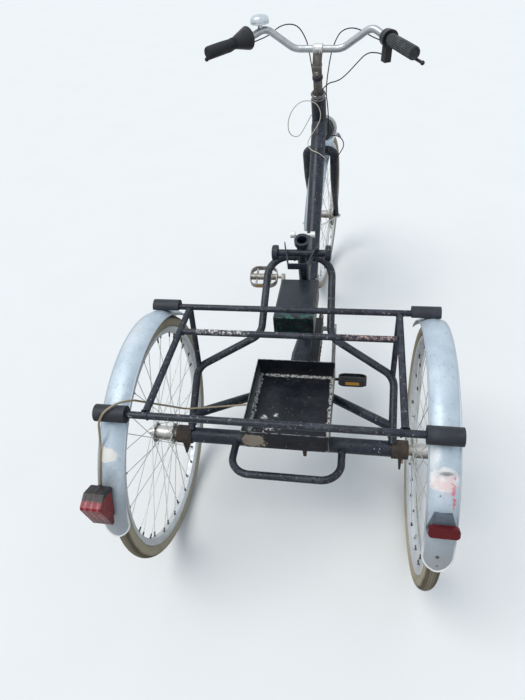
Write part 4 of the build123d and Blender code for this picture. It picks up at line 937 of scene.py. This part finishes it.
def make_cables():
    lug_foot = [at(-4, 1111.6, z) for z in (830, 780, lamp_lug.z * 1000 + 6.1)]
    headset_foot = [head_foot + (up_head * 163 - out_head * 24.2) / 1000]
    # The right brake's cable swings out in a bight and ends on the right blade
    bight = (
        (24, 1101, 905), (31, 1102, 861), (33, 1114, 806), (33, 1128, 764), (36, 1138, 733), (54, 1144, 735),
        (80, 1146, 724), (91, 1143, 697), (79, 1135, 676), (62, 1124, 655), (60, 1130, 613), (62, 1143, 567),
        (60, 1160, 530), (54, 1176, 500),
    )
    runs = (
        # name, side, grip and housing lengths, drop of the mouth, where along the housing, set back,
        # route and foot with the bar straight, end with the bar turned
        ("left_brake_cable", -1, 112, 60, 18, 1.0, 0.0, (
            (-165, 1088, 1082), (-140, 1091, 1103), (-108, 1093, 1113), (-74, 1095, 1108), (-52, 1098, 1080),
            (-36, 1102, 1040),
        ), lug_foot, ()),
        ("right_brake_cable", 1, 148, 28, 18, 1.0, 0.0, (
            (168, 1096, 1074), (135, 1099, 1092), (102, 1101, 1099), (70, 1100, 1090), (52, 1100, 1062),
            (36, 1104, 1018),
        ), [], bight),
        ("gear_cable", 1, 148, 28, 54, 0.5, 0.0133, (
            (164, 1036, 1042), (132, 1032, 1010), (104, 1030, 980), (76, 1028, 958), (34, 1030, 950),
        ), headset_foot, ()),
    )
    ferrules = Build()
    for name, side, grip, length, drop, share, back, route, foot, last in runs:
        tip, line = rest_bar_end(side)
        start = tip - line * (grip - 3.7) / 1000
        down = (Vector((0, 0, -1)) + line * line.z).normalized()
        mouth = start - line * length * share / 1000 + down * drop / 1000 - line * back
        points = [mouth, mouth - line * 0.017, mouth - line * 0.034] + [at(*point) for point in route] + foot
        points = [steered(point) for point in points] + [at(*point) for point in last]
        cable = strand(name, points, 0.0019, cable_black)
        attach(cable, "steering")
        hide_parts("control_cables")
        out = (points[1] - points[0]).normalized()
        ferrules.lathe([(0.0004, 0.003), (0.012, 0.003), (0.014, 0.0022)], points[0], out, 12)
    ferrules.piece("cable_ferrules", bolt_steel, "steering", sharp=25)


make_cables()


def make_stem():
    """A quill that leans forward at its knee and ends in a narrow clamp round the bar."""
    build = Build()
    rows = ((165.4, 0), (215, 0), (258, 0), (266, 1.6), (272, 4.6), (279, 9), (291, 19))
    build.tube([head_point(along, ahead) for along, ahead in rows], 0.0155, 32)
    build.piece("stem_quill", stem_metal, "steering", "stem")
    clamp = Build()
    profile = both_ways([(0.0145, 0.0168), (0.016, 0.0150), (0.016, 0.0122)])
    clamp.lathe(profile, head_point(bar_along, bar_ahead), steer_across, 40)
    clamp.lathe(both_ways([(0.011, 0.0095), (0.012, 0.0085)]), head_point(287, 15), steer_across, 24)
    clamp.piece("stem_clamp", clamp_white, "steering", "stem", sharp=30)


make_stem()


def make_bell():
    """A squat drum with a crowned top on its post."""
    top = steered(bar_centre + Vector((-0.188, -0.0232, 0.0778)))
    build = Build()
    build.lathe([(-0.011, 0.008), (0.001, 0.008)], top, Vector((0, 0, 1)), 24)
    profile = [
        (0.0, 0.026), (0.0008, 0.0295), (0.002, 0.0305), (0.004, 0.0300), (0.006, 0.0302), (0.014, 0.0296),
        (0.0185, 0.0282), (0.0218, 0.0255), (0.0242, 0.0212), (0.026, 0.015), (0.027, 0.008),
        (0.0274, 0.0004),
    ]
    build.lathe(profile, top, Vector((0, 0, 1)), 48)
    build.piece("bell_dome", chrome, "steering", "bell", sharp=50)


make_bell()

# Small fittings


def make_steering_fittings():
    bolts, whites, rings, dark = Build(), Build(), Build(), Build()
    # the clamp's round face with its bolt, and the quill's bolt
    face = head_point(301, 12)
    whites.lathe([(0, 0.0105), (0.004, 0.0105), (0.005, 0.0095)], face, steer_back, 24)
    bolts.lathe([(0, 0.0046), (0.004, 0.0046), (0.0045, 0.0038)], face + steer_back * 0.005, steer_back, 16)
    bolts.hexagon(head_point(243, -15.2), steer_back, 0.012, 0.006)
    collars = (
        # build, along the steering axis, sides, height, bevel, inner and outer radius
        (rings, 258, 32, 0.0078, 0.0008, 0.0165, 0.0172),
        (dark, 214, 32, 0.0100, 0.0010, 0.0172, 0.0182),
        (rings, 141, 36, 0.0088, 0.0008, 0.0222, 0.0230),
        (rings, 154, 8, 0.0100, 0.0010, 0.024366, 0.0262),
        (rings, -0.5, 36, 0.0060, 0.0010, 0.0266, 0.0272),
    )
    for build, along, sides, height, bevel, inner, outer in collars:
        profile = [(0, inner), (bevel, outer), (height - bevel, outer), (height, inner)]
        build.lathe(profile, head_point(along), steer_up, sides)
    bolts.piece("stem_bolts", bolt_steel, "steering", sharp=25)
    whites.piece("stem_clamp_face", clamp_white, "steering", sharp=25)
    rings.piece("headset_rings", headset_steel, "steering", sharp=25)
    dark.piece("quill_band", black, "steering", sharp=25)


def make_frame_fittings():
    screws = Build()
    for x in (-54, 42):
        for y in (278, 424):
            screws.dome(at(x, y, 573.9), Vector((0, 0, 1)), 0.0035, 0.0018, 12)
    for side in (-1, 1):
        screws.hexagon(at(side * 297.3, 0, 285), Vector((side, 0, 0)), 0.013, 0.007)
    screws.piece("frame_screws", bolt_steel, "frame", sharp=25)
    for side, word in ((-1, "left"), (1, "right")):
        washer = Build()
        out = Vector((side, 0, 0))
        washer.lathe([(0, 0.0125), (0.0022, 0.0125)], rear_centres[side] + out * 0.0335, out, 24)
        washer.piece("axle_washer_" + word, bolt_steel, "wheel_" + word, sharp=25)


def make_welds():
    """Uneven beads where tubes meet."""
    pairs = (
        # centre on the right side, axis and radius of the tube
        ((271, 15, 361), (0, 0.81, 0.59), 10.5), ((143, -21, 333), (0, 1, 0), 10),
        ((263, -204, 642.8), (1, 0, 0), 8), ((271, -194, 642.8), (0, 1, 0), 8),
        ((271, 170, 642.8), (0, 1, 0), 8), ((262, 78, 642.8), (1, 0, 0), 8),
    )
    joints = [((side * x, y, z), axis, radius) for (x, y, z), axis, radius in pairs for side in (-1, 1)]
    joints += [((x, 414, 656), (1, 0, 0), 10.5) for x in (-17, 25)]
    welds = Build()
    for centre, axis, radius in joints:
        origin, axis = at(*centre), Vector(axis).normalized()
        u = axis.orthogonal().normalized()
        v = axis.cross(u)
        path = []
        for k in range(36):
            turn = 2 * pi * k / 36
            r = (radius + 0.3 + 0.5 * noise.noise(Vector((k * 0.9, centre[0], centre[1])))) / 1000
            path.append(origin + (u * cos(turn) + v * sin(turn)) * r + axis * 0.0006 * sin(k * 2.1))
        welds.tube(path, 0.0019, 6, closed=True)
    welds.piece("weld_beads", dusty_black, "frame")


def make_reflectors():
    """Amber reflectors on both pedals' long edges, tipped with their cages."""
    crank, crank_length, pedal_x = radians(53), 0.174, 160
    bracket_y, bracket_z = 528, 298
    quads = [(0, 1, 2, 3), (4, 5, 6, 7), (0, 1, 5, 4), (1, 2, 6, 5), (2, 3, 7, 6), (3, 0, 4, 7)]
    for side, tip, body in ((-1, 22, "pedal_left"), (1, -25, "pedal_right")):
        arm = Vector((0, cos(crank), sin(crank))) * side * crank_length
        centre = at(side * pedal_x, bracket_y, bracket_z) - arm
        lean = Matrix.Rotation(radians(tip), 3, "X")
        build = Build()
        for way in (-1, 1):
            corners = []
            for x, y, z in ((24, 36.6, 6), (23, 38.4, 5)):
                for across, up in ((-1, -1), (1, -1), (1, 1), (-1, 1)):
                    corners.append(lean @ Vector((across * x, way * y, up * z)) / 1000 + centre)
            build.add(corners, quads)
        build.piece(body + "_reflectors", amber, body, sharp=20)


make_steering_fittings()
make_frame_fittings()
make_welds()
make_reflectors()

# Finish of every carried-over node

looks = (
    (cap_rubber, ("rail_end_caps",)),
    (carrier, ("carrier_bars", "carrier_side_rails", "carrier_struts")),
    (dusty_black, ("rear_hoop", "lower_stays", "tray_bearers", "chassis_tubes")),
    (tray_paint, ("battery_tray",)),
    (lever_plastic, ("brake_levers",)),
    (plastic, ("chain_guard", "headlamp", "tail_lamp_base", "pedal_right")),
    (box_paint, ("control_box",)),
    (pedal_silver, ("pedal_left",)),
    (spoke_wire, ("front_guard_stays",)),
    (seat_clamp_metal, ("seat_clamp",)),
    (bracket_steel, ("reflector_bracket",)),
    (rim_metal, ("front_rim", "rear_left_rim", "rear_right_rim")),
    (hub_steel, ("front_hub", "rear_left_hub", "rear_right_hub")),
    (crank_steel, ("crankset",)),
    (bar_metal, ("handlebar",)),
    (lamp_ring, ("headlamp_rim",)),
    (bearing, ("axle_bearings",)),
    (chain_steel, ("drive_chain", "axle_sprocket")),
    (lamp_red, ("tail_lamp_lens",)),
    (reflector_red, ("rear_reflector",)),
    (lead, ("lamp_lead",)),
)
loop_wire.data.materials.append(cream_wire)
dressed = {name: look for look, names in looks for name in names}
for name, node in nodes.items():
    for place in node.material_slots:
        place.material = dressed.get(name, black)

# Floor, backdrop and soft light


def make_studio():
    mesh = bpy.data.meshes.new("floor")
    size = 30
    corners = [(-size, -size, 0), (size, -size, 0), (size, size, 0), (-size, size, 0)]
    mesh.from_pydata(corners, [], [(0, 1, 2, 3)])
    floor = bpy.data.objects.new("floor", mesh)
    bpy.context.scene.collection.objects.link(floor)
    s = Shader("floor", Specular_IOR_Level=0.0)
    path = s.add("ShaderNodeLightPath")
    seen = s.math("MAXIMUM", path.outputs["Is Camera Ray"], s.times(path.outputs["Is Glossy Ray"], 0.6))
    pale = s.mix(s.noise(3, 4, 0.5), (0.80, 0.80, 0.79), (0.84, 0.84, 0.83))
    s.colour(s.mix(seen, (0.26, 0.235, 0.205), pale))
    s.roughness(0.9)
    mesh.materials.append(s.material)
    world = bpy.data.worlds.new("studio")
    world.use_nodes = True
    tree = world.node_tree
    sky = tree.nodes["Background"]
    sky.inputs["Color"].default_value = (0.80, 0.90, 1.0, 1)
    sky.inputs["Strength"].default_value = 0.78
    white = tree.nodes.new("ShaderNodeBackground")
    white.inputs["Color"].default_value = (0.86, 0.915, 0.94, 1)
    light_path = tree.nodes.new("ShaderNodeLightPath")
    seen = tree.nodes.new("ShaderNodeMath")
    seen.operation = "MAXIMUM"
    tree.links.new(light_path.outputs["Is Camera Ray"], seen.inputs[0])
    tree.links.new(light_path.outputs["Is Glossy Ray"], seen.inputs[1])
    blend = tree.nodes.new("ShaderNodeMixShader")
    tree.links.new(seen.outputs[0], blend.inputs[0])
    tree.links.new(sky.outputs[0], blend.inputs[1])
    tree.links.new(white.outputs[0], blend.inputs[2])
    tree.links.new(blend.outputs[0], tree.nodes["World Output"].inputs["Surface"])
    bpy.context.scene.world = world
    data = bpy.data.lights.new("daylight", "SUN")
    data.energy = 1.5
    data.angle = radians(35)
    data.color = (1.0, 0.97, 0.92)
    lamp = bpy.data.objects.new("daylight", data)
    lamp.rotation_euler = Vector((0.45, 0.25, -1.0)).to_track_quat("-Z", "Y").to_euler()
    bpy.context.scene.collection.objects.link(lamp)


make_studio()
bpy.context.scene.view_settings.view_transform = "Standard"

bpy.context.view_layer.update()
